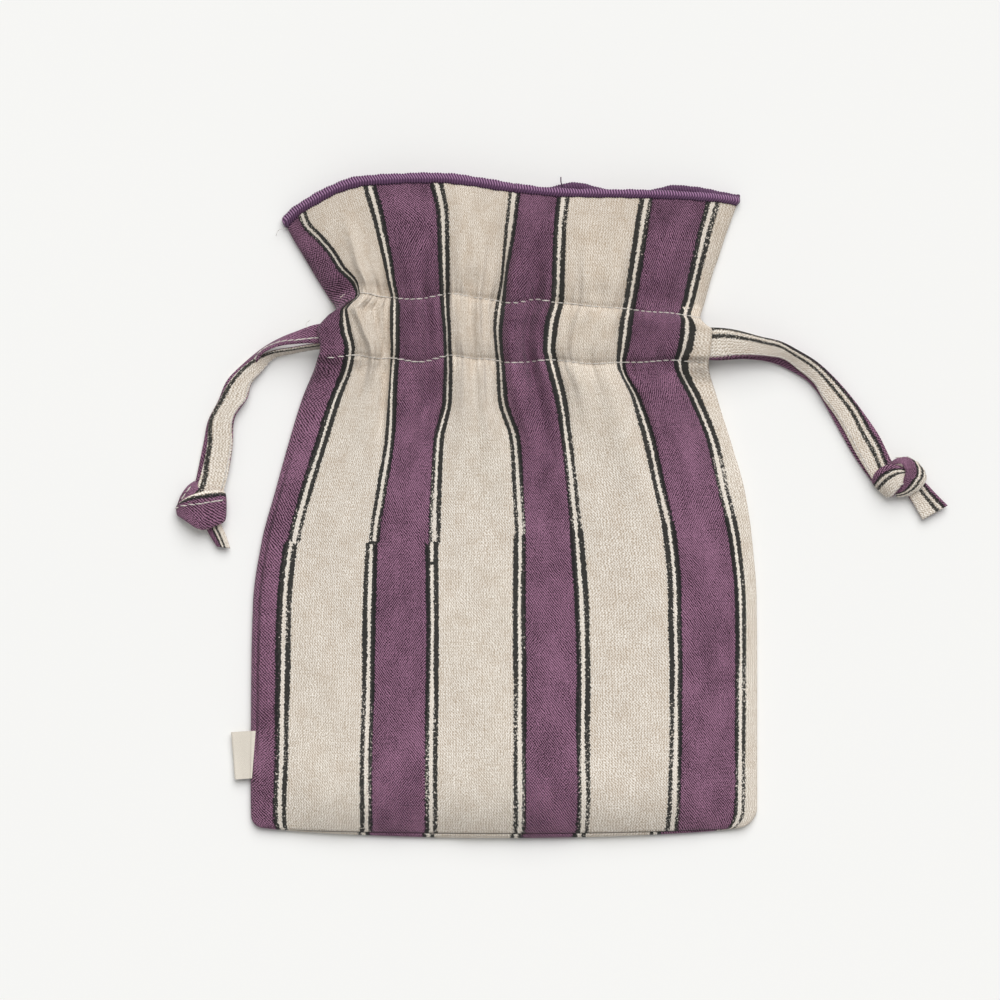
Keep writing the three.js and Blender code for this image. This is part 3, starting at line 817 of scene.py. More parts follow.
def wire_tape(wires, inputs, colours):
    """Folded linen tape: beige face, a pair of lines by one fold, plum face."""
    tape = wires.map("tape")
    cloth = wires.scale(tape, (TAPE_WIDTH, *TO_MM[1:]))
    weave = woven(wires, cloth, RIB_SPACING)
    linen, plum = linen_colours(wires, cloth, colours, weave)
    ragged = wires.noise(cloth, (1.8, 1.4), 2.0, 0.75) - 0.5
    drift = wires.noise(cloth, (0.02, 0.05), 1.0) - 0.5
    place = wires.split(tape)[0] + (ragged * 0.2 + drift * 0.22)
    place = wires.math("FLOORED_MODULO", place, 2.0)
    beige = wires.ramp(place, 0.1, 0.13) * wires.ramp(place, 1.04, 1.0)
    ground = wires.mix(beige, plum, linen)
    ink = 0.0
    for middle, half in TAPE_LINES:
        ink = wires.larger(wires.ramp(half - abs(place - middle), -0.01, 0.015), ink)
    covered = ink * wires.ramp(wires.noise(cloth, (1.9, 1.2), 2.0, 0.75), 0.3, 0.44)
    finish_linen(wires, inputs, wires.mix(covered * INK_COVER, ground, colours.ink), weave)


def wire_undyed(wires, inputs, colours):
    """Undyed linen of the casing strips and the seam allowances."""
    cloth = wires.scale(wires.place(), TO_MM)
    weave = woven(wires, cloth, RIB_SPACING)
    finish_linen(wires, inputs, linen_colours(wires, cloth, colours, weave)[0], weave, sheen=0.0)


def wire_label(wires, inputs, colours):
    """Cream label tape with fine ribs."""
    weave = woven(wires, wires.scale(wires.map("cloth"), TO_MM), LABEL_RIBS)
    dark = [0.86 * part for part in colours.label]
    wires.feed(inputs["Base Color"], wires.mix(weave["Tone"], dark, colours.label))
    wires.feed(inputs["Roughness"], 0.85 - weave["Tone"] * 0.2)
    raise_threads(wires, inputs, weave["Relief"], 0.0001, 0.4)


def wire_thread(wires, inputs, colours, kind):
    """Spun thread of one of the colours, with a fine twist of light and dark fibre."""
    colour = getattr(colours, kind)
    fibre = wires.noise(wires.place(), [FIBRE_SCALE] * 3, 3.0, 0.6)
    dark = [0.62 * part for part in colour]
    light = [min(1.0, 1.3 * part) for part in colour]
    wires.feed(inputs["Base Color"], wires.mix(wires.ramp(fibre, 0.3, 0.7), dark, light))
    wires.feed(inputs["Roughness"], wires.ramp(fibre, -0.6, 0.9))
    wires.feed(inputs["Sheen Weight"], 0.2)
    raise_threads(wires, inputs, fibre, THREAD_RELIEF)


def wire_wrapped(wires, inputs, colours):
    """Glossy thread round the mouth's edge: wraps that slant from a crest, each with a painted highlight, and
    painted shade in its holes and along its rim.
    """
    wrap = wires.map("wrap")
    turn, along, _ = wires.split(wrap)
    wraps = along / settings()[0].wrap_pitch
    slanted = wraps + abs(turn - WRAP_CREST) * WRAP_TURNS
    phase = wires.sine(slanted * (2.0 * math.pi))
    fibre = wires.noise(wrap, (14.0, 2600.0), 2.0, 0.6)
    # Painted highlight: the wraps are lighter along their phase, most of all on the crest of the band.
    crest = wires.ramp(turn, 0.03, 0.1) * wires.ramp(turn, 0.3, 0.2)
    shine = wires.ramp(phase, -0.3, 0.9) * (0.25 + crest) + (fibre - 0.5) * 0.7
    lit = wires.mix(shine, colours.overlock, colours.overlock_light)
    # Painted shade: a dark colour in the needle holes and along the outer rim between wraps.
    dark = [0.2 * part for part in colours.overlock]
    stitch = wires.sine(wraps * (2.0 * math.pi))
    hole_shade = wires.ramp(stitch, 0.0, 0.6) * (1.0 - wires.ramp(abs(turn - HOLE_SHADE_LINE), 0.02, 0.05))
    rim = wires.ramp(phase, 0.2, -0.7) * wires.ramp(turn, 0.16, 0.04)
    wires.feed(inputs["Base Color"], wires.mix(wires.larger(hole_shade, rim * 0.8), lit, dark))
    wires.feed(inputs["Roughness"], 0.62 - fibre * 0.3)
    raise_threads(wires, inputs, phase + fibre, THREAD_RELIEF)


def wire_floor(wires, inputs, colours):
    """Plain pale floor with a faint unevenness."""
    cloud = wires.noise(wires.place(), (3.0, 3.0, 3.0))
    shade = [0.99 * part for part in colours.floor]
    wires.feed(inputs["Base Color"], wires.mix(cloud, shade, colours.floor))
    wires.feed(inputs["Roughness"], 0.9)


# Cloth of the two panels

class ClothPanel:
    """One panel: where each point of its flat cloth lies on the pouch, in millimetres."""

    ROLL = 1.6
    EASE = 30.0
    EDGE = 2.8
    FRILL_FALL = 1.6
    BACK_LIFT = 2.0
    BACK_GATHERS = 4
    PUFF_POWER = 5
    TAPE_TOP = 10.1
    SLIT_DROP = 1.2

    def __init__(self, sizes, front):
        self.front = front
        self.body = sizes.body_height / MM
        self.neck = sizes.neck_height / MM
        self.seam = sizes.seam_height / MM
        self.folds = sizes.fold_share
        self.rows = [row[0] for row in LAID_ROWS]
        self.across = np.array([row[1] for row in LAID_ROWS], float)
        self.along = np.array([np.broadcast_to(row[2], len(COLUMNS)) for row in LAID_ROWS], float)

    def lay(self, u, v):
        """Place across and along, and the share of the half width, at one length along the cloth."""
        columns = curve_through(self.rows, self.across, v, steady=True)[0]
        heights = curve_through(self.rows, self.along, v, steady=True)[0]
        x = curve_through(COLUMNS, columns, u, steady=True)
        y = curve_through(COLUMNS, heights, u, steady=True)
        half = (columns[-1] - columns[0]) / 2.0
        s = np.clip((x - (columns[-1] + columns[0]) / 2.0) / half, -1.0, 1.0)
        if self.front:
            x = self.drawn_in(u, v, x, columns)
        else:
            y = y + self.peaks(u) * np.clip((v - UPPER_ROW) / (MOUTH - UPPER_ROW), 0.0, 1.0)
        for side, radius in ((-1.0, LEFT_CORNER), (1.0, RIGHT_CORNER)):
            corner = radius * (1.0 - quarter_round(v / radius))
            x = x - corner * side * np.clip(side * s, 0.0, 1.0) ** 8
        y = y + BOTTOM_BOW * s * s * (1.0 - smooth(v, 0.0, 2.0 * self.EASE))
        return x, y, s

    def drawn_in(self, u, v, x, columns):
        """Places across, drawn together at the sharp folds of the neck."""
        for place, half, share, height, reach in PINCHES:
            middle = curve_through(COLUMNS, columns, place, steady=True)[0]
            x = x - share * hump(v - height, reach) * hump(u - place, half) * (x - middle)
        return x

    def peaks(self, u):
        """Lift of the back's mouth over the front's."""
        lift = np.full_like(u, BACK_MOUTH)
        for place, left, right, height in BACK_PEAKS:
            lift = lift + (height - BACK_MOUTH) * hump(u - place, np.where(u < place, left, right))
        return lift

    def slit(self, v):
        """One where the panels are left open for the strings."""
        return plateau(v, CASING_LOW - 4.0, CASING_LOW + 3.0, UPPER_ROW - 3.0, UPPER_ROW + 5.0)

    def gathers(self, u, v):
        """Height of the folds that the drawn casing makes."""
        total = np.zeros_like(u)
        drawn = np.clip((UPPER_ROW - v) / (UPPER_ROW - CASING_LOW), 0.0, 1.0)
        for across, along, wide, long, depth in HOLLOWS:
            total = total - depth * hump(v - along, long) * hump(u - across, wide)
        for place, shift, lean, left, right, height, below, above in FOLDS:
            fade = hump(max(CASING_LOW - v, 0.0), below) * hump(max(v - UPPER_ROW, 0.0), above)
            slid = shift * drawn + lean * max(v - UPPER_ROW, 0.0) + 0.6 * math.sin(v / 13.0 + place)
            off = u - place - slid
            total = total + height * fade * hump(off, np.where(off < 0.0, left, right))
        return total * self.folds

    def sewn(self, u, v):
        """Grooves and puckers along the two stitch rows."""
        total = np.zeros_like(u)
        for row in (LOWER_ROW, UPPER_ROW):
            off = v - stitch_row(u, row)
            pucker = 0.4 * np.sin(0.9 * u + 0.9 * np.sin(u / 5.0) + row) + 0.25 * np.sin(1.9 * u + row)
            groove = 1.5 * hump(off, 5.0) + 0.9 * hump(off, 1.3)
            total = total - groove + pucker * hump(off, 5.5)
        return total

    def creases(self, u, v):
        """Pressed lines beside the left side seam and the bottom seam."""
        off = u + HALF_CLOTH - SIDE_CREASE
        side = (0.3 * hump(off + 1.0, 0.6) - 0.9 * hump(off, 0.42)) * plateau(v, 18.0, 45.0, 135.0, 165.0)
        rolled = rolled_height(u)
        return side - 0.8 * hump(v - rolled, 0.4) * smooth(rolled, 0.2, 0.7)

    def ripple(self, u, v):
        """Slight unevenness of washed cloth."""
        wide = 0.45 * np.sin(u / 17.0 + v / 31.0 + 0.6) + 0.3 * np.sin(u / 9.5 - v / 23.0 + 2.1)
        return wide + 0.16 * np.sin(u / 4.6 + v / 9.0 + 4.0) + 0.1 * np.sin(u / 2.7 - v / 4.1)

    def height(self, u, v, s):
        """Height of the panel's outer face."""
        open_side = self.slit(v)
        edge = np.minimum(u + HALF_CLOTH, HALF_CLOTH - u)
        roll = quarter_round(edge / self.ROLL)
        if self.front:
            raw = self.front_height(u, v, s, open_side)
            roll = roll + (1.0 - roll) * open_side * 0.8
        else:
            lift = self.BACK_LIFT * smooth(v, CASING_LOW - 44.0, CASING_LOW)
            raw = lift * (1.0 - np.cos(math.pi * self.BACK_GATHERS * (s + 1.0))) / 2.0
            roll = roll + (1.0 - roll) * open_side
        return self.seam + (raw - self.seam) * roll * quarter_round(v / self.ROLL)

    def front_height(self, u, v, s, open_side):
        """Height of the front before its edges roll under: body, neck, folds and the tapes under it."""
        rise = np.clip(v / self.EASE, 0.0, 1.0)
        body = self.EDGE + (self.body - self.EDGE) * (1.0 - (1.0 - rise) ** 3)
        frill = np.clip((v - UPPER_ROW) / (MOUTH - UPPER_ROW), 0.0, 1.0)
        crown = body + (self.neck - body) * smooth(v, SHOULDER, CASING_LOW) - self.FRILL_FALL * frill
        side = self.EDGE + (crown - self.SLIT_DROP - self.EDGE) * open_side
        raw = crown + (side - crown) * np.abs(s) ** self.PUFF_POWER
        worked = self.gathers(u, v) + self.sewn(u, v) + self.ripple(u, v)
        raw = raw + (1.0 - np.abs(s) ** 12) * worked + self.creases(u, v)
        held = plateau(v, CASING_LOW - 9.0, CASING_LOW, UPPER_ROW - 4.0, UPPER_ROW + 4.0)
        over_tapes = self.TAPE_TOP + np.logaddexp(0.0, 2.0 * (raw - self.TAPE_TOP)) / 2.0
        return raw + (over_tapes - raw) * held

    def points(self, u, v):
        """Points of the outer face along one row."""
        u = np.clip(u, -HALF_CLOTH, HALF_CLOTH)
        v = min(max(v, 0.0), MOUTH)
        x, y, s = self.lay(u, v)
        return np.stack([x, y, self.height(u, v, s)], axis=-1)

    def frame(self, u, v, reach=0.25):
        """Outward normals, and the directions across and along the cloth."""
        u = np.clip(u, -HALF_CLOTH + reach, HALF_CLOTH - reach)
        v = min(max(v, reach), MOUTH - reach)
        across = self.points(u + reach, v) - self.points(u - reach, v)
        along = self.points(u, v + reach) - self.points(u, v - reach)
        normal = unit(np.cross(across, along))
        return normal if self.front else -normal, unit(across), unit(along)


def stitch_row(u, row):
    """Length along the cloth at which a row of stitches runs."""
    line = row + 0.6 * np.sin(u / 9.0 + row) + 0.35 * np.sin(u / 4.7 + 1.0)
    if row == LOWER_ROW:
        return line - 2.0 * smooth(u, -8.0, 12.0) - 1.6 * hump(u + 42.0, 9.0)
    return line + 2.2 * hump(u - 21.0, 6.5) - 1.2 * smooth(u, 80.0, 95.0)


def shell(name, points, normals, flat, thickness, outer, inner, flip):
    """Cloth of a given thickness under a grid of points, with its flat coordinates as a map."""
    rows, columns = points.shape[0] - 1, points.shape[1] - 1
    bm = bmesh.new()
    bmesh.ops.create_grid(bm, x_segments=columns, y_segments=rows, size=1.0)
    place = bm.verts.layers.int.new("place")
    for vert in bm.verts:
        column = round((vert.co.x + 1.0) / 2.0 * columns)
        row = round((vert.co.y + 1.0) / 2.0 * rows)
        vert[place] = row * (columns + 1) + column
    uv_layer = bm.loops.layers.uv.new("cloth")
    flat = flat.reshape(-1, 2)
    for face in bm.faces:
        for loop in face.loops:
            loop[uv_layer].uv = flat[loop.vert[place]]
    if flip:
        bmesh.ops.reverse_faces(bm, faces=bm.faces[:])
    face_up = set(bm.verts)
    bmesh.ops.solidify(bm, geom=bm.faces[:], thickness=0.01)
    points = points.reshape(-1, 3)
    normals = normals.reshape(-1, 3)
    shading = []
    for vert in bm.verts:
        spot = vert[place]
        outward = vert in face_up
        depth = 0.0 if outward else thickness
        vert.co = Vector((points[spot] - normals[spot] * depth) * MM)
        shading.append(normals[spot] if outward else -normals[spot])
    for face in bm.faces:
        face.material_index = 0 if all(vert in face_up for vert in face.verts) else 1
    bmesh.ops.recalc_face_normals(bm, faces=bm.faces[:])
    piece = add_object(name, bm, outer, inner)
    piece.data.normals_split_custom_set_from_vertices([tuple(normal) for normal in shading])
    return piece


def panel_piece(name, panel, columns, rows, thickness):
    """The stretch of a panel between given places across and along its flat cloth."""
    points = np.array([panel.points(columns, v) for v in rows])
    normals = np.array([panel.frame(columns, v)[0] for v in rows])
    outer = fabric("printed_linen", wire_printed)
    inner = fabric("printed_linen_wrong_side", wire_printed, reverse=True)
    return shell(name, points, normals, flat_grid(columns, rows), thickness, outer, inner, not panel.front)


def follow_neck(piece, side, body_cloth):
    """Works out how cloth on one side would follow the string whose turn draws that side in, but only bakes
    the piece's transform into its mesh.
    """
    near, far = RIGHT_DRAW if side == "right" else LEFT_DRAW
    slope = Vector((1.0 / (far - near), 0.0, 0.0))
    if body_cloth:
        rim = math.copysign(HALF_CLOTH, far)
        slope.y = (rim - near) / (far - near) / (CASING_Y - DRAW_FOOT)
    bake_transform(piece)


def halves(step):
    """Both halves of the cloth across, as a side's name and its columns."""
    left = np.linspace(-HALF_CLOTH, SPLIT, round((SPLIT + HALF_CLOTH) / step) + 1)
    right = np.linspace(SPLIT, HALF_CLOTH, round((HALF_CLOTH - SPLIT) / step) + 1)
    return (("left", left), ("right", right))


def finer(places, fine):
    """Places along a line, the first of them set finer."""
    return np.concatenate([fine, places[places > fine[-1] + FINE_STEP]])


def make_panels():
    """Front and back cloth, each as body and top on either side."""
    sizes = settings()[0]
    thickness = sizes.cloth_thickness / MM
    pressed_side = np.arange(-HALF_CLOTH, -HALF_CLOTH + 2.0 * SIDE_CREASE, FINE_STEP)
    pressed_foot = np.arange(FINE_STEP, 2.0 * BOTTOM_ROLL, FINE_STEP)
    pressed_foot = np.concatenate([[0.0, FINE_STEP / 2.0], pressed_foot])
    for face, step in (("front", 0.85), ("back", 1.3)):
        panel = ClothPanel(sizes, face == "front")
        for side, columns in halves(step):
            if side == "left":
                columns = finer(columns, pressed_side)
            for part, low, high in (("body", 0.0, CASING_LOW), ("top", CASING_LOW, MOUTH)):
                pitch = step * (1.1 if part == "body" else 0.8)
                rows = np.linspace(low, high, round((high - low) / pitch) + 1)
                if part == "body":
                    rows = finer(rows, pressed_foot)
                name = f"{face}_{part}_{side}"
                piece = panel_piece(name, panel, columns, rows, thickness)
                follow_neck(piece, side, part == "body")
                if part == "body":
                    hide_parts(f"{face}_panel")


# Lofted tapes, threads and edges

def loft(name, rings, flat, layer, material):
    """Closed tube through rings of points, with a map that runs round and along it."""
    rings = np.asarray(rings, float)
    length, around = rings.shape[0], rings.shape[1]
    bm = bmesh.new()
    bmesh.ops.create_grid(bm, x_segments=around, y_segments=length - 1, size=1.0)
    uv_layer = bm.loops.layers.uv.new(layer)
    spots = {}
    for vert in bm.verts:
        column = round((vert.co.x + 1.0) / 2.0 * around)
        row = round((vert.co.y + 1.0) / 2.0 * (length - 1))
        spots[vert] = (row, column)
    for face in bm.faces:
        for loop in face.loops:
            row, column = spots[loop.vert]
            loop[uv_layer].uv = flat[row][column]
    for vert, (row, column) in spots.items():
        vert.co = Vector(rings[row][column % around] * MM)
    bmesh.ops.remove_doubles(bm, verts=bm.verts[:], dist=1e-7)
    ends = [edge for edge in bm.edges if edge.is_boundary]
    bmesh.ops.holes_fill(bm, edges=ends, sides=0)
    bmesh.ops.recalc_face_normals(bm, faces=bm.faces[:])
    return add_object(name, bm, material)


def ring_map(around, lengths):
    """Map of a tube: the share of a turn round it, and the length along it in metres."""
    return [[(step / around, at * MM) for step in range(around + 1)] for at in lengths]


class Band:
    """A flat tape laid between two edges, with its surface and its middle line."""

    def __init__(self, stations, thickness, camber=0.0, around=28, step=0.7):
        rails = np.array(stations, float).reshape(-1, 2, 3)
        knots = walked(rails.mean(axis=1))
        count = max(int(knots[-1] / step), 6)
        self.at = np.linspace(0.0, knots[-1], count + 1)
        self.left = curve_through(knots, rails[:, 0], self.at)
        self.right = curve_through(knots, rails[:, 1], self.at)
        self.middle = (self.left + self.right) / 2.0
        self.tangent = unit(np.gradient(self.middle, axis=0))
        self.normal = unit(np.cross(self.tangent, self.right - self.left))
        if self.normal[np.argmax(self.middle[:, 2]), 2] < 0.0:
            self.normal = -self.normal
        self.thickness = thickness
        self.camber = camber
        self.around = around

    def surface(self, share, face):
        """Points of the upper (1) or lower (-1) face at a share of the width."""
        rounding = (1.0 - (2.0 * share - 1.0) ** 6) ** 0.5
        lift = face * self.thickness / 2.0 * rounding + self.camber * (1.0 - (2.0 * share - 1.0) ** 2)
        return self.left + (self.right - self.left) * share + self.normal * lift

    def spread(self, values):
        """One value, or several at even steps, read along the tape."""
        values = np.atleast_1d(values)
        return np.interp(self.at, np.linspace(0.0, self.at[-1], len(values)), values)

    def piece(self, name, shifts, turns, material):
        """The tape as a closed mesh. Shifts and turns, spread evenly along, say which print faces up."""
        rings = []
        spans = []
        for step in range(self.around):
            angle = 2.0 * math.pi * step / self.around
            share = (1.0 - math.cos(angle)) / 2.0
            upper = angle <= math.pi
            rings.append(self.surface(share, 1.0 if upper else -1.0))
            spans.append(share if upper else 2.0 - share)
        spans.append(2.0)
        prints = zip(self.spread(shifts), self.spread(turns), self.at)
        flat = [[(start + turn * span, at * MM) for span in spans] for start, turn, at in prints]
        return loft(name, np.stack(rings, axis=1), flat, "tape", material)

    def path(self, points=30):
        """Points along the middle of the tape, in metres."""
        at = np.linspace(0, len(self.middle) - 1, points).round().astype(int)
        return [tuple(point) for point in self.middle[at] * MM]

    def length(self):
        """Length along the middle, in metres."""
        return float(walked(self.middle)[-1]) * MM


def dashes(name, places, sizes, material):
    """Thread dashes, one at each place with its direction and its outward normal."""
    bm = bmesh.new()
    long = sizes.stitch_length / 2.0
    thick = sizes.thread_thickness / 2.0
    for point, direction, normal in places:
        direction = Vector(direction).normalized()
        side = Vector(normal).cross(direction).normalized()
        up = direction.cross(side)
        turn = Matrix((direction, side, up)).transposed().to_4x4()
        shape = Matrix.Translation(Vector(point) * MM) @ turn @ Matrix.Diagonal((long, thick, thick, 1.0))
        shape = shape @ Matrix.Rotation(math.pi / 2.0, 4, "Y")
        bmesh.ops.create_uvsphere(bm, u_segments=6, v_segments=4, radius=1.0, matrix=shape)
    return add_object(name, bm, material)


def sew_band(band, share, start, stop, sizes):
    """Places of a topstitch along a tape, on both of its faces."""
    places = []
    pitch = sizes.stitch_pitch / MM * TOPSTITCH_SHARE
    for face in (1.0, -1.0):
        line = band.surface(share, face)
        for at in np.arange(start, min(stop, band.at[-1]), pitch):
            spot = min(int(np.searchsorted(band.at, at)), len(band.at) - 1)
            places.append((line[spot], band.tangent[spot], band.normal[spot] * face))
    return places


# Free tapes: side, part, stations, camber, then the print's shifts along and turn, and the topstitch's share.
TAPES = (
    ("left", "upper_strand", LEFT_UPPER, 0.1, (0.2, 0.27, 0.3, 0.21), 0.76, 0.9),
    ("left", "lower_strand", LEFT_LOWER, 0.1, 1.1, 0.85, 0.72),
    ("right", "upper_strand", RIGHT_UPPER, 0.25, (0.11, 0.08, 0.0, -0.17), 1.0, 0.88),
    ("right", "lower_strand", RIGHT_LOWER, 0.1, 1.1, 0.85, 0.2),
)
# Layers of the knots: side, name, stations, camber, the print's shifts and turn, the topstitch's share.
KNOTS = (
    ("left", "left_knot_wrap", LEFT_WRAP, 0.2, 0.25, -1.2, 0.3),
    ("left", "left_knot_cross", LEFT_CROSS, 0.2, 1.25, 1.0, 0.3),
    ("right", "right_knot_wrap", RIGHT_WRAP, 0.35, -0.18, 1.25, 0.93),
    ("right", "right_knot_loop", RIGHT_LOOP, 0.35, (-0.1, -0.05, 0.45, 0.7, 0.72, 0.72), -1.0, 0.08),
)
# Tails: side, part, stations, then the print's shift and turn.
TAILS = (
    ("left", "upper_tail", LEFT_TAIL_UPPER, -0.25, 1.0),
    ("left", "lower_tail", LEFT_TAIL_LOWER, 1.1, 0.85),
    ("right", "upper_tail", RIGHT_TAIL_UPPER, -0.04, 1.0),
    ("right", "lower_tail", RIGHT_TAIL_LOWER, 1.1, 0.85),
)
# Tapes in the casing: side, lane, far end, the strands that its front and its back run on into, then the
# print's shifts and turns, which start and end as on those strands.
CHANNELS = (
    ("left", LEFT_LANE, LEFT_BIGHT, LEFT_LOWER, LEFT_UPPER,
     (1.1, 1.1, 1.72, 1.72), (0.85, 0.85, -0.76, -0.76)),
    ("right", RIGHT_LANE, RIGHT_BIGHT, RIGHT_UPPER, RIGHT_LOWER,
     (0.11, 0.11, 2.8, 2.8), (1.0, 1.0, -0.85, -0.85)),
)


def channel_stations(lane, turn, front, back):
    """Edges of a tape inside the casing: from one strand along the front, round the far end and back."""
    radius = (FRONT_TAPE - BACK_TAPE) / 2.0
    outward = math.copysign(1.0, turn - front[0][0])
    start = front[0][0] + outward * LANE_LEAD
    spots = [(x, FRONT_TAPE) for x in np.linspace(start, turn, 7)]
    for step in range(1, 8):
        angle = math.pi * step / 8.0
        height = BACK_TAPE + radius * (1.0 + math.cos(angle))
        spots.append((turn + outward * radius * math.sin(angle), height))
    spots += [(x, BACK_TAPE) for x in np.linspace(turn, start, 7)]
    laid = [(x, lane + LANE_HALF, z, x, lane - LANE_HALF, z) for x, z in spots]
    return [front[0], *laid, back[0]]


def make_drawstrings():
    """Free tapes, knots, tails and the runs inside the casing."""
    sizes = settings()[0]
    tape = fabric("tape_cloth", wire_tape)
    thread = fabric("sewing_thread", wire_thread, kind="thread")
    thickness = sizes.tape_thickness / MM
    layer = sizes.knot_thickness / MM
    ends = {"left": [], "right": []}
    sewn = {"left": [], "right": []}
    for side, name, stations, camber, shifts, turn, share in KNOTS:
        band = Band(stations, layer, camber)
        piece = band.piece(name, shifts, turn, tape)
        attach(piece, f"{side}_drawstring")
        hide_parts(f"{side}_knot")
        ends[side].append(piece)
        sewn[side] += sew_band(band, share, 4.0, band.at[-1] - 4.0, sizes)
    for side, part, stations, shift, turn in TAILS:
        band = Band(stations, thickness, TAIL_CAMBER)
        piece = band.piece(f"{side}_{part}_tape", shift, turn, tape)
        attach(piece, f"{side}_drawstring")
        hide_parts(f"{side}_{part}")
        ends[side].append(piece)
    for side, part, stations, camber, shifts, turn, share in TAPES:
        band = Band(stations, thickness, camber)
        piece = band.piece(f"{side}_{part}_tape", shifts, turn, tape)
        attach(piece, f"{side}_drawstring")
        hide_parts(f"{side}_{part}")
        tuple(band.middle[0] * MM)
        band.path()
        sewn[side] += sew_band(band, share, 8.0, band.at[-1] - 6.0, sizes)
    for side, lane, far_end, front, back, shifts, turns in CHANNELS:
        band = Band(channel_stations(lane, far_end, front, back), thickness, around=16, step=1.5)
        piece = band.piece(f"{side}_channel_tape", shifts, turns, tape)
        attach(piece, f"{side}_drawstring")
        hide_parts(f"{side}_front_run", f"{side}_back_run", f"{side}_bend")
        stitches = dashes(f"{side}_tape_stitches", sewn[side], sizes, thread)
        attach(stitches, f"{side}_drawstring")


# Casing, seams, stitching and edges

def casing_row(panel, columns, v, rest, inward):
    """One row of a casing strip: sewn to its panel at the two stitch rows, at rest and pleated elsewhere."""
    line = panel.points(columns, v)
    sewn = min(hump(v - LOWER_ROW, CASING_SEWN) + hump(v - UPPER_ROW, CASING_SEWN), 1.0)
    seat = line[:, 2] + inward * CASING_GAP
    pleats = 0.7 * np.sin(0.9 * columns + 0.5 * np.sin(columns / 6.0))
    line[:, 2] = rest + (seat - rest) * sewn + pleats * (1.0 - sewn)
    return line


def make_casing():
    """Linen strips inside the front and back that hold the tapes."""
    sizes = settings()[0]
    linen = fabric("undyed_linen", wire_undyed)
    rows = np.linspace(LOWER_ROW - CASING_HEM, UPPER_ROW + CASING_HEM, 28)
    for face, rest in (("front", 7.4), ("back", 4.6)):
        panel = ClothPanel(sizes, face == "front")
        inward = -1.0 if face == "front" else 1.0
        for side, columns in halves(1.6):
            columns = columns[np.abs(columns) < HALF_CLOTH - CASING_HEM]
            points = np.array([casing_row(panel, columns, v, rest, inward) for v in rows])
            normals = grid_normals(points) * -inward
            flat = flat_grid(columns, rows)
            piece = shell(f"{face}_casing_{side}", points, normals, flat, 0.4, linen, linen, face == "back")
            follow_neck(piece, side, False)
            if side == "left":
                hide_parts(f"{face}_casing_strip")


def make_stitching():
    """Two rows of stitches on the front and on the back."""
    sizes = settings()[0]
    thread = fabric("sewing_thread", wire_thread, kind="thread")
    pitch = sizes.stitch_pitch / MM
    for face in ("front", "back"):
        panel = ClothPanel(sizes, face == "front")
        for level, row in (("lower", LOWER_ROW), ("upper", UPPER_ROW)):
            for side, columns in halves(pitch):
                places = []
                hidden = NOTCH if face == "front" and level == "upper" else -HALF_CLOTH
                columns = columns[(columns > hidden) & (np.abs(columns) < HALF_CLOTH - 2.0)]
                for u in columns + 0.4 * pitch:
                    spot = np.array([u])
                    v = float(stitch_row(spot, row)[0])
                    normal, across, _ = panel.frame(spot, v)
                    point = panel.points(spot, v)[0] + normal[0] * STITCH_LIFT
                    places.append((point, across[0], normal[0]))
                piece = dashes(f"{face}_{level}_stitches_{side}", places, sizes, thread)
                follow_neck(piece, side, False)
                if side == "left":
                    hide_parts(f"{face}_{level}_stitch")


def make_overlock():
    """Thread-wrapped edge of the mouth, front and back."""
    sizes = settings()[0]
    thread = fabric("wrapped_thread", wire_wrapped)
    thick = sizes.overlock_thickness / MM / 2.0
    pitch = sizes.wrap_pitch / MM
    around = 18
    for face in ("front", "back"):
        panel = ClothPanel(sizes, face == "front")
        for side, columns in halves(0.25):
            wider = 1.0 + 0.26 * (1.0 - smooth(columns, -25.0, 20.0))
            reach = (sizes.overlock_width / MM / 2.0 * wider)[:, None]
            normal, _, along = panel.frame(columns, MOUTH)
            line = panel.points(columns, MOUTH) + along * reach * 0.55 - normal * 0.25
            at = walked(line)
            uneven = 1.0 + 0.05 * np.sin(at / 2.3) + 0.04 * np.sin(at / 0.9 + 1.0)
            rings = []
            for step in range(around):
                angle = 2.0 * math.pi * step / around
                fanned = WRAP_TURNS * abs(step / around - WRAP_CREST)
                wrap = 1.0 + 0.1 * np.sin(2.0 * math.pi * (at / pitch + fanned))
                size = (wrap * uneven)[:, None]
                out = along * reach * math.cos(angle) + normal * thick * math.sin(angle)
                rings.append(line + size * out)
            rings = np.stack(rings, axis=1)
            piece = loft(f"{face}_overlock_{side}", rings, ring_map(around, at), "wrap", thread)
            follow_neck(piece, side, False)
            if side == "left":
                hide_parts(f"{face}_overlock")


def allowance(name, points, way):
    """Seam allowance laid inwards from points along a seam, one way across or along the pouch."""
    near = points + np.array([*(way * ALLOWANCE_NEAR), 0.1])
    far = points + np.array([*(way * ALLOWANCE_FAR), 0.3])
    band = Band(np.hstack([near, far]), ALLOWANCE_THICK, around=12, step=2.0)
    return band.piece(name, 0.5, 0.0, fabric("undyed_linen", wire_undyed))


def make_seams():
    """Seam allowances inside the sides, the frill and the bottom."""
    panel = ClothPanel(settings()[0], False)
    for side, edge in (("left", -HALF_CLOTH), ("right", HALF_CLOTH)):
        inward = np.array([-math.copysign(1.0, edge), 0.0])
        for part, low, high in (("side", 5.0, CASING_LOW - 6.0), ("frill", UPPER_ROW + 7.0, MOUTH - 1.0)):
            points = np.array([panel.points(np.array([edge]), v)[0] for v in np.linspace(low, high, 12)])
            piece = allowance(f"{side}_{part}_allowance", points, inward)
            follow_neck(piece, side, part == "side")
            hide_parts(f"{side}_{part}_seam")
    points = panel.points(np.linspace(-90.0, 90.0, 14), 0.0)
    piece = allowance("bottom_seam_allowance", points, np.array([0.0, 1.0]))
    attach(piece, "pouch")
    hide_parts("bottom_seam")


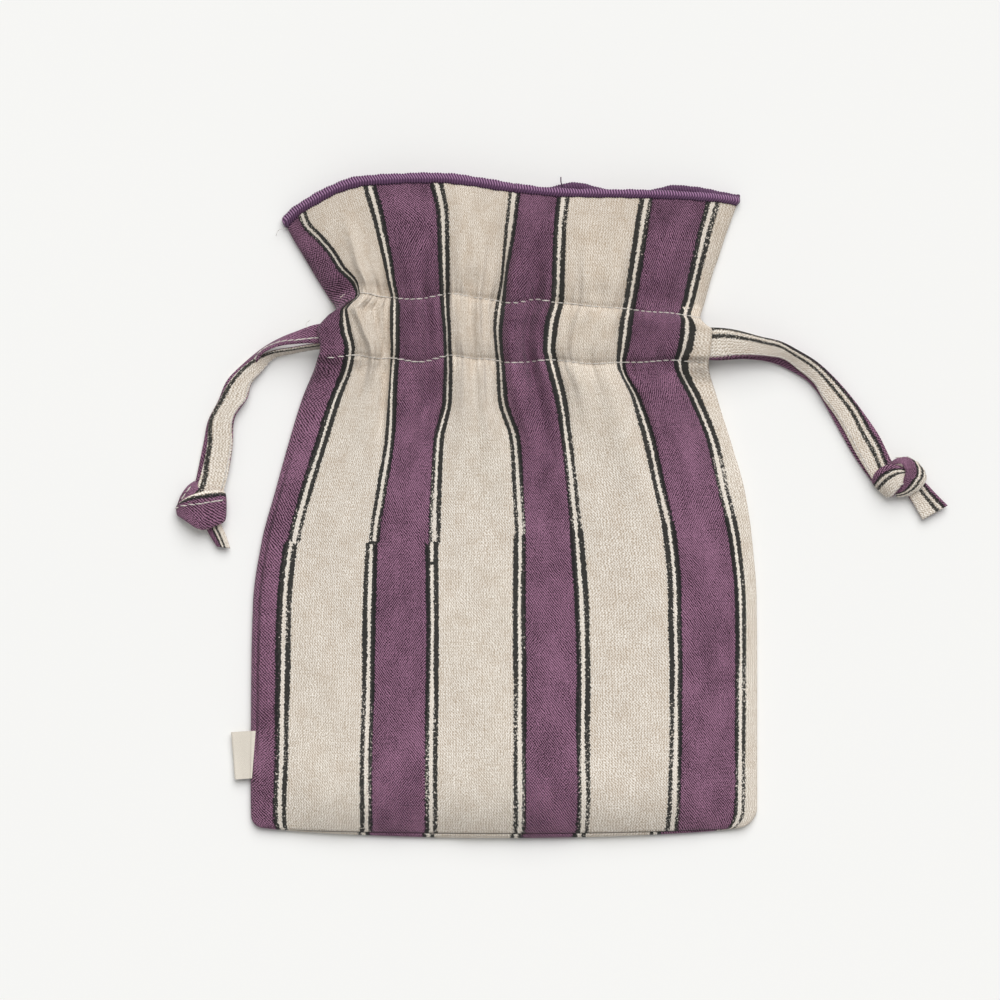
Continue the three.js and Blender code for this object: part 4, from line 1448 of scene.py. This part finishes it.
def make_label():
    """Bare woven label folded in half: a loose flap whose upper layer runs on over the left side seam."""
    low, high = (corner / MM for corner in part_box("label"))
    rest = (low.z + high.z) / 2.0 + 0.15
    gap = LABEL_GAP
    angles = np.linspace(0.0, math.pi, 9)
    fold = [(gap / 8.0 * (1.0 - math.sin(angle)), -gap * math.cos(angle)) for angle in angles]
    lower = [(share, -gap) for share in np.linspace(1.0, 0.12, 11)]
    upper = [(share, gap) for share in np.linspace(0.12, 1.0, 11)]
    caught = [(share, gap) for share in np.linspace(1.1, 2.0, 10)]
    line = np.array(lower + fold + upper + caught)
    on_flap = np.minimum(line[:, :1], 1.0)
    past_seam = np.maximum(line[:, :1] - 1.0, 0.0)
    climb = (LABEL_CAUGHT - rest - gap) * smooth(line[:, 0], 0.15, 1.5) * (line[:, 1] > 0.0)
    ends = np.array([LABEL_OUTER, LABEL_INNER])
    points = []
    for share in np.linspace(0.0, 1.0, 22):
        outer, inner = ends[:, 0] + share * (ends[:, 1] - ends[:, 0])
        hinge = outer + (inner - outer) * (high.x - outer[0]) / (inner[0] - outer[0])
        place = outer + (hinge - outer) * on_flap + (inner - hinge) * past_seam
        lift = 0.2 * (1.0 - on_flap[:, 0]) * math.cos(6.0 * share)
        points.append(np.column_stack([place, rest + line[:, 1] + lift + climb]))
    points = np.array(points)
    across = walked(points[0])
    along = walked(points[:, 0])
    weave = fabric("label_weave", wire_label)
    flat = flat_grid(across, along)
    piece = shell("label_flap_tape", points, -grid_normals(points), flat, 0.3, weave, weave, True)
    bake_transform(piece)
    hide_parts("label")


# Loose threads: side, radius, whether it is overlock thread, then points along it.
FIBRES = (
    ("left", 0.09, False, (-74.0, 69.5, 9.5), (-77.5, 70.1, 9.8), (-79.0, 72.3, 9.4), (-77.2, 74.1, 9.0)),
    ("left", 0.09, False, (-87.0, 110.8, 4.0), (-90.0, 110.0, 3.2), (-91.2, 107.8, 2.2)),
    ("right", 0.24, True, (23.6, 127.4, 4.6), (22.8, 129.0, 4.6), (22.7, 131.2, 4.2)),
)


def make_fibres():
    """A few loose threads at the openings and the mouth."""
    sewing = fabric("sewing_thread", wire_thread, kind="thread")
    overlock = fabric("overlock_tail", wire_thread, kind="overlock")
    around = 6
    for number, (side, radius, tail, *points) in enumerate(FIBRES):
        knots = np.arange(len(points), dtype=float)
        line = curve_through(knots, points, np.linspace(0.0, knots[-1], 18))
        tangent = unit(np.gradient(line, axis=0))
        side_way = unit(np.cross(tangent, np.array([0.0, 0.0, 1.0])))
        up = np.cross(side_way, tangent)
        rings = []
        for step in range(around):
            angle = 2.0 * math.pi * step / around
            rings.append(line + radius * (side_way * math.cos(angle) + up * math.sin(angle)))
        material = overlock if tail else sewing
        flat = ring_map(around, range(len(line)))
        piece = loft(f"loose_thread_{number + 1}", np.stack(rings, axis=1), flat, "thread", material)
        follow_neck(piece, side, False)


# Stage

def make_stage():
    """Pale floor, soft window light from the mouth's side, even room light and a camera straight above."""
    stage = settings()[2]
    scene = bpy.context.scene
    scene.view_settings.view_transform = "Standard"
    camera = bpy.data.cameras.new("camera")
    camera.sensor_width = 36.0
    camera.lens = camera.sensor_width * stage.camera_height / stage.field
    camera.clip_end = 20.0
    eye = bpy.data.objects.new("camera", camera)
    eye.location = (stage.centre_x, stage.centre_y, stage.camera_height)
    scene.collection.objects.link(eye)
    scene.camera = eye
    window = bpy.data.lights.new("window", "SUN")
    window.energy = stage.sun
    window.angle = math.radians(WINDOW_ANGLE)
    lamp = bpy.data.objects.new("window", window)
    lamp.rotation_euler = Vector(WINDOW_WAY).to_track_quat("-Z", "Y").to_euler()
    scene.collection.objects.link(lamp)
    world = bpy.data.worlds.new("room")
    world.use_nodes = True
    room = world.node_tree.nodes["Background"]
    room.inputs["Color"].default_value = ROOM_COLOUR
    room.inputs["Strength"].default_value = stage.sky
    scene.world = world
    bm = bmesh.new()
    bmesh.ops.create_grid(bm, x_segments=4, y_segments=4, size=4.0)
    bmesh.ops.translate(bm, verts=bm.verts[:], vec=(0.0, 0.0, FLOOR_LEVEL))
    floor = add_object("floor", bm, fabric("pale_floor", wire_floor))


class PouchOperator:
    """Shared parts of the pouch's operators."""

    bl_options = {"REGISTER", "UNDO"}


class POUCH_OT_stage(PouchOperator, bpy.types.Operator):
    """Set the floor, the light and the camera"""

    bl_idname = "pouch.stage"
    bl_label = "Stage"

    def execute(self, context):
        make_stage()
        return {"FINISHED"}


class POUCH_OT_drawstrings(PouchOperator, bpy.types.Operator):
    """Lay the tapes with their knots and tails"""

    bl_idname = "pouch.drawstrings"
    bl_label = "Drawstrings"

    def execute(self, context):
        make_drawstrings()
        return {"FINISHED"}


class POUCH_OT_panels(PouchOperator, bpy.types.Operator):
    """Make the gathered front and back cloth"""

    bl_idname = "pouch.panels"
    bl_label = "Panels"

    def execute(self, context):
        make_panels()
        return {"FINISHED"}


class POUCH_OT_casing(PouchOperator, bpy.types.Operator):
    """Make the strips that hold the tapes"""

    bl_idname = "pouch.casing"
    bl_label = "Casing strips"

    def execute(self, context):
        make_casing()
        return {"FINISHED"}


class POUCH_OT_stitching(PouchOperator, bpy.types.Operator):
    """Sew the rows of the casing"""

    bl_idname = "pouch.stitching"
    bl_label = "Stitching"

    def execute(self, context):
        make_stitching()
        return {"FINISHED"}


class POUCH_OT_overlock(PouchOperator, bpy.types.Operator):
    """Wrap the edges of the mouth with thread"""

    bl_idname = "pouch.overlock"
    bl_label = "Overlock"

    def execute(self, context):
        make_overlock()
        return {"FINISHED"}


class POUCH_OT_seams(PouchOperator, bpy.types.Operator):
    """Lay the seam allowances inside"""

    bl_idname = "pouch.seams"
    bl_label = "Seams"

    def execute(self, context):
        make_seams()
        return {"FINISHED"}


class POUCH_OT_label(PouchOperator, bpy.types.Operator):
    """Fold the bare label into the side seam"""

    bl_idname = "pouch.label"
    bl_label = "Label"

    def execute(self, context):
        make_label()
        return {"FINISHED"}


class POUCH_OT_fibres(PouchOperator, bpy.types.Operator):
    """Add a few loose threads"""

    bl_idname = "pouch.fibres"
    bl_label = "Loose threads"

    def execute(self, context):
        make_fibres()
        return {"FINISHED"}


OPERATORS = (
    POUCH_OT_stage,
    POUCH_OT_drawstrings,
    POUCH_OT_panels,
    POUCH_OT_casing,
    POUCH_OT_stitching,
    POUCH_OT_overlock,
    POUCH_OT_seams,
    POUCH_OT_label,
    POUCH_OT_fibres,
)


class POUCH_PT_sidebar(bpy.types.Panel):
    """Sizes, colours and steps of the pouch"""

    bl_label = "Drawstring Pouch"
    bl_space_type = "VIEW_3D"
    bl_region_type = "UI"
    bl_category = "Pouch"

    def draw(self, context):
        for group in settings():
            box = self.layout.box()
            for name in group.bl_rna.properties.keys():
                if name not in {"rna_type", "name"}:
                    box.prop(group, name)
        for operator in OPERATORS:
            self.layout.operator(operator.bl_idname)


CLASSES = (PouchSizes, PouchColours, PouchStage, *OPERATORS, POUCH_PT_sidebar)


def register():
    for entry in CLASSES:
        bpy.utils.register_class(entry)
    bpy.types.Scene.pouch_sizes = PointerProperty(type=PouchSizes)
    bpy.types.Scene.pouch_colours = PointerProperty(type=PouchColours)
    bpy.types.Scene.pouch_stage = PointerProperty(type=PouchStage)


def unregister():
    del bpy.types.Scene.pouch_stage
    del bpy.types.Scene.pouch_colours
    del bpy.types.Scene.pouch_sizes
    for entry in reversed(CLASSES):
        bpy.utils.unregister_class(entry)


def main():
    """Builds the pouch."""
    register()
    bpy.ops.pouch.stage()
    bpy.ops.pouch.drawstrings()
    bpy.ops.pouch.panels()
    bpy.ops.pouch.casing()
    bpy.ops.pouch.stitching()
    bpy.ops.pouch.overlock()
    bpy.ops.pouch.seams()
    bpy.ops.pouch.label()
    bpy.ops.pouch.fibres()


if __name__ == "__main__":
    main()
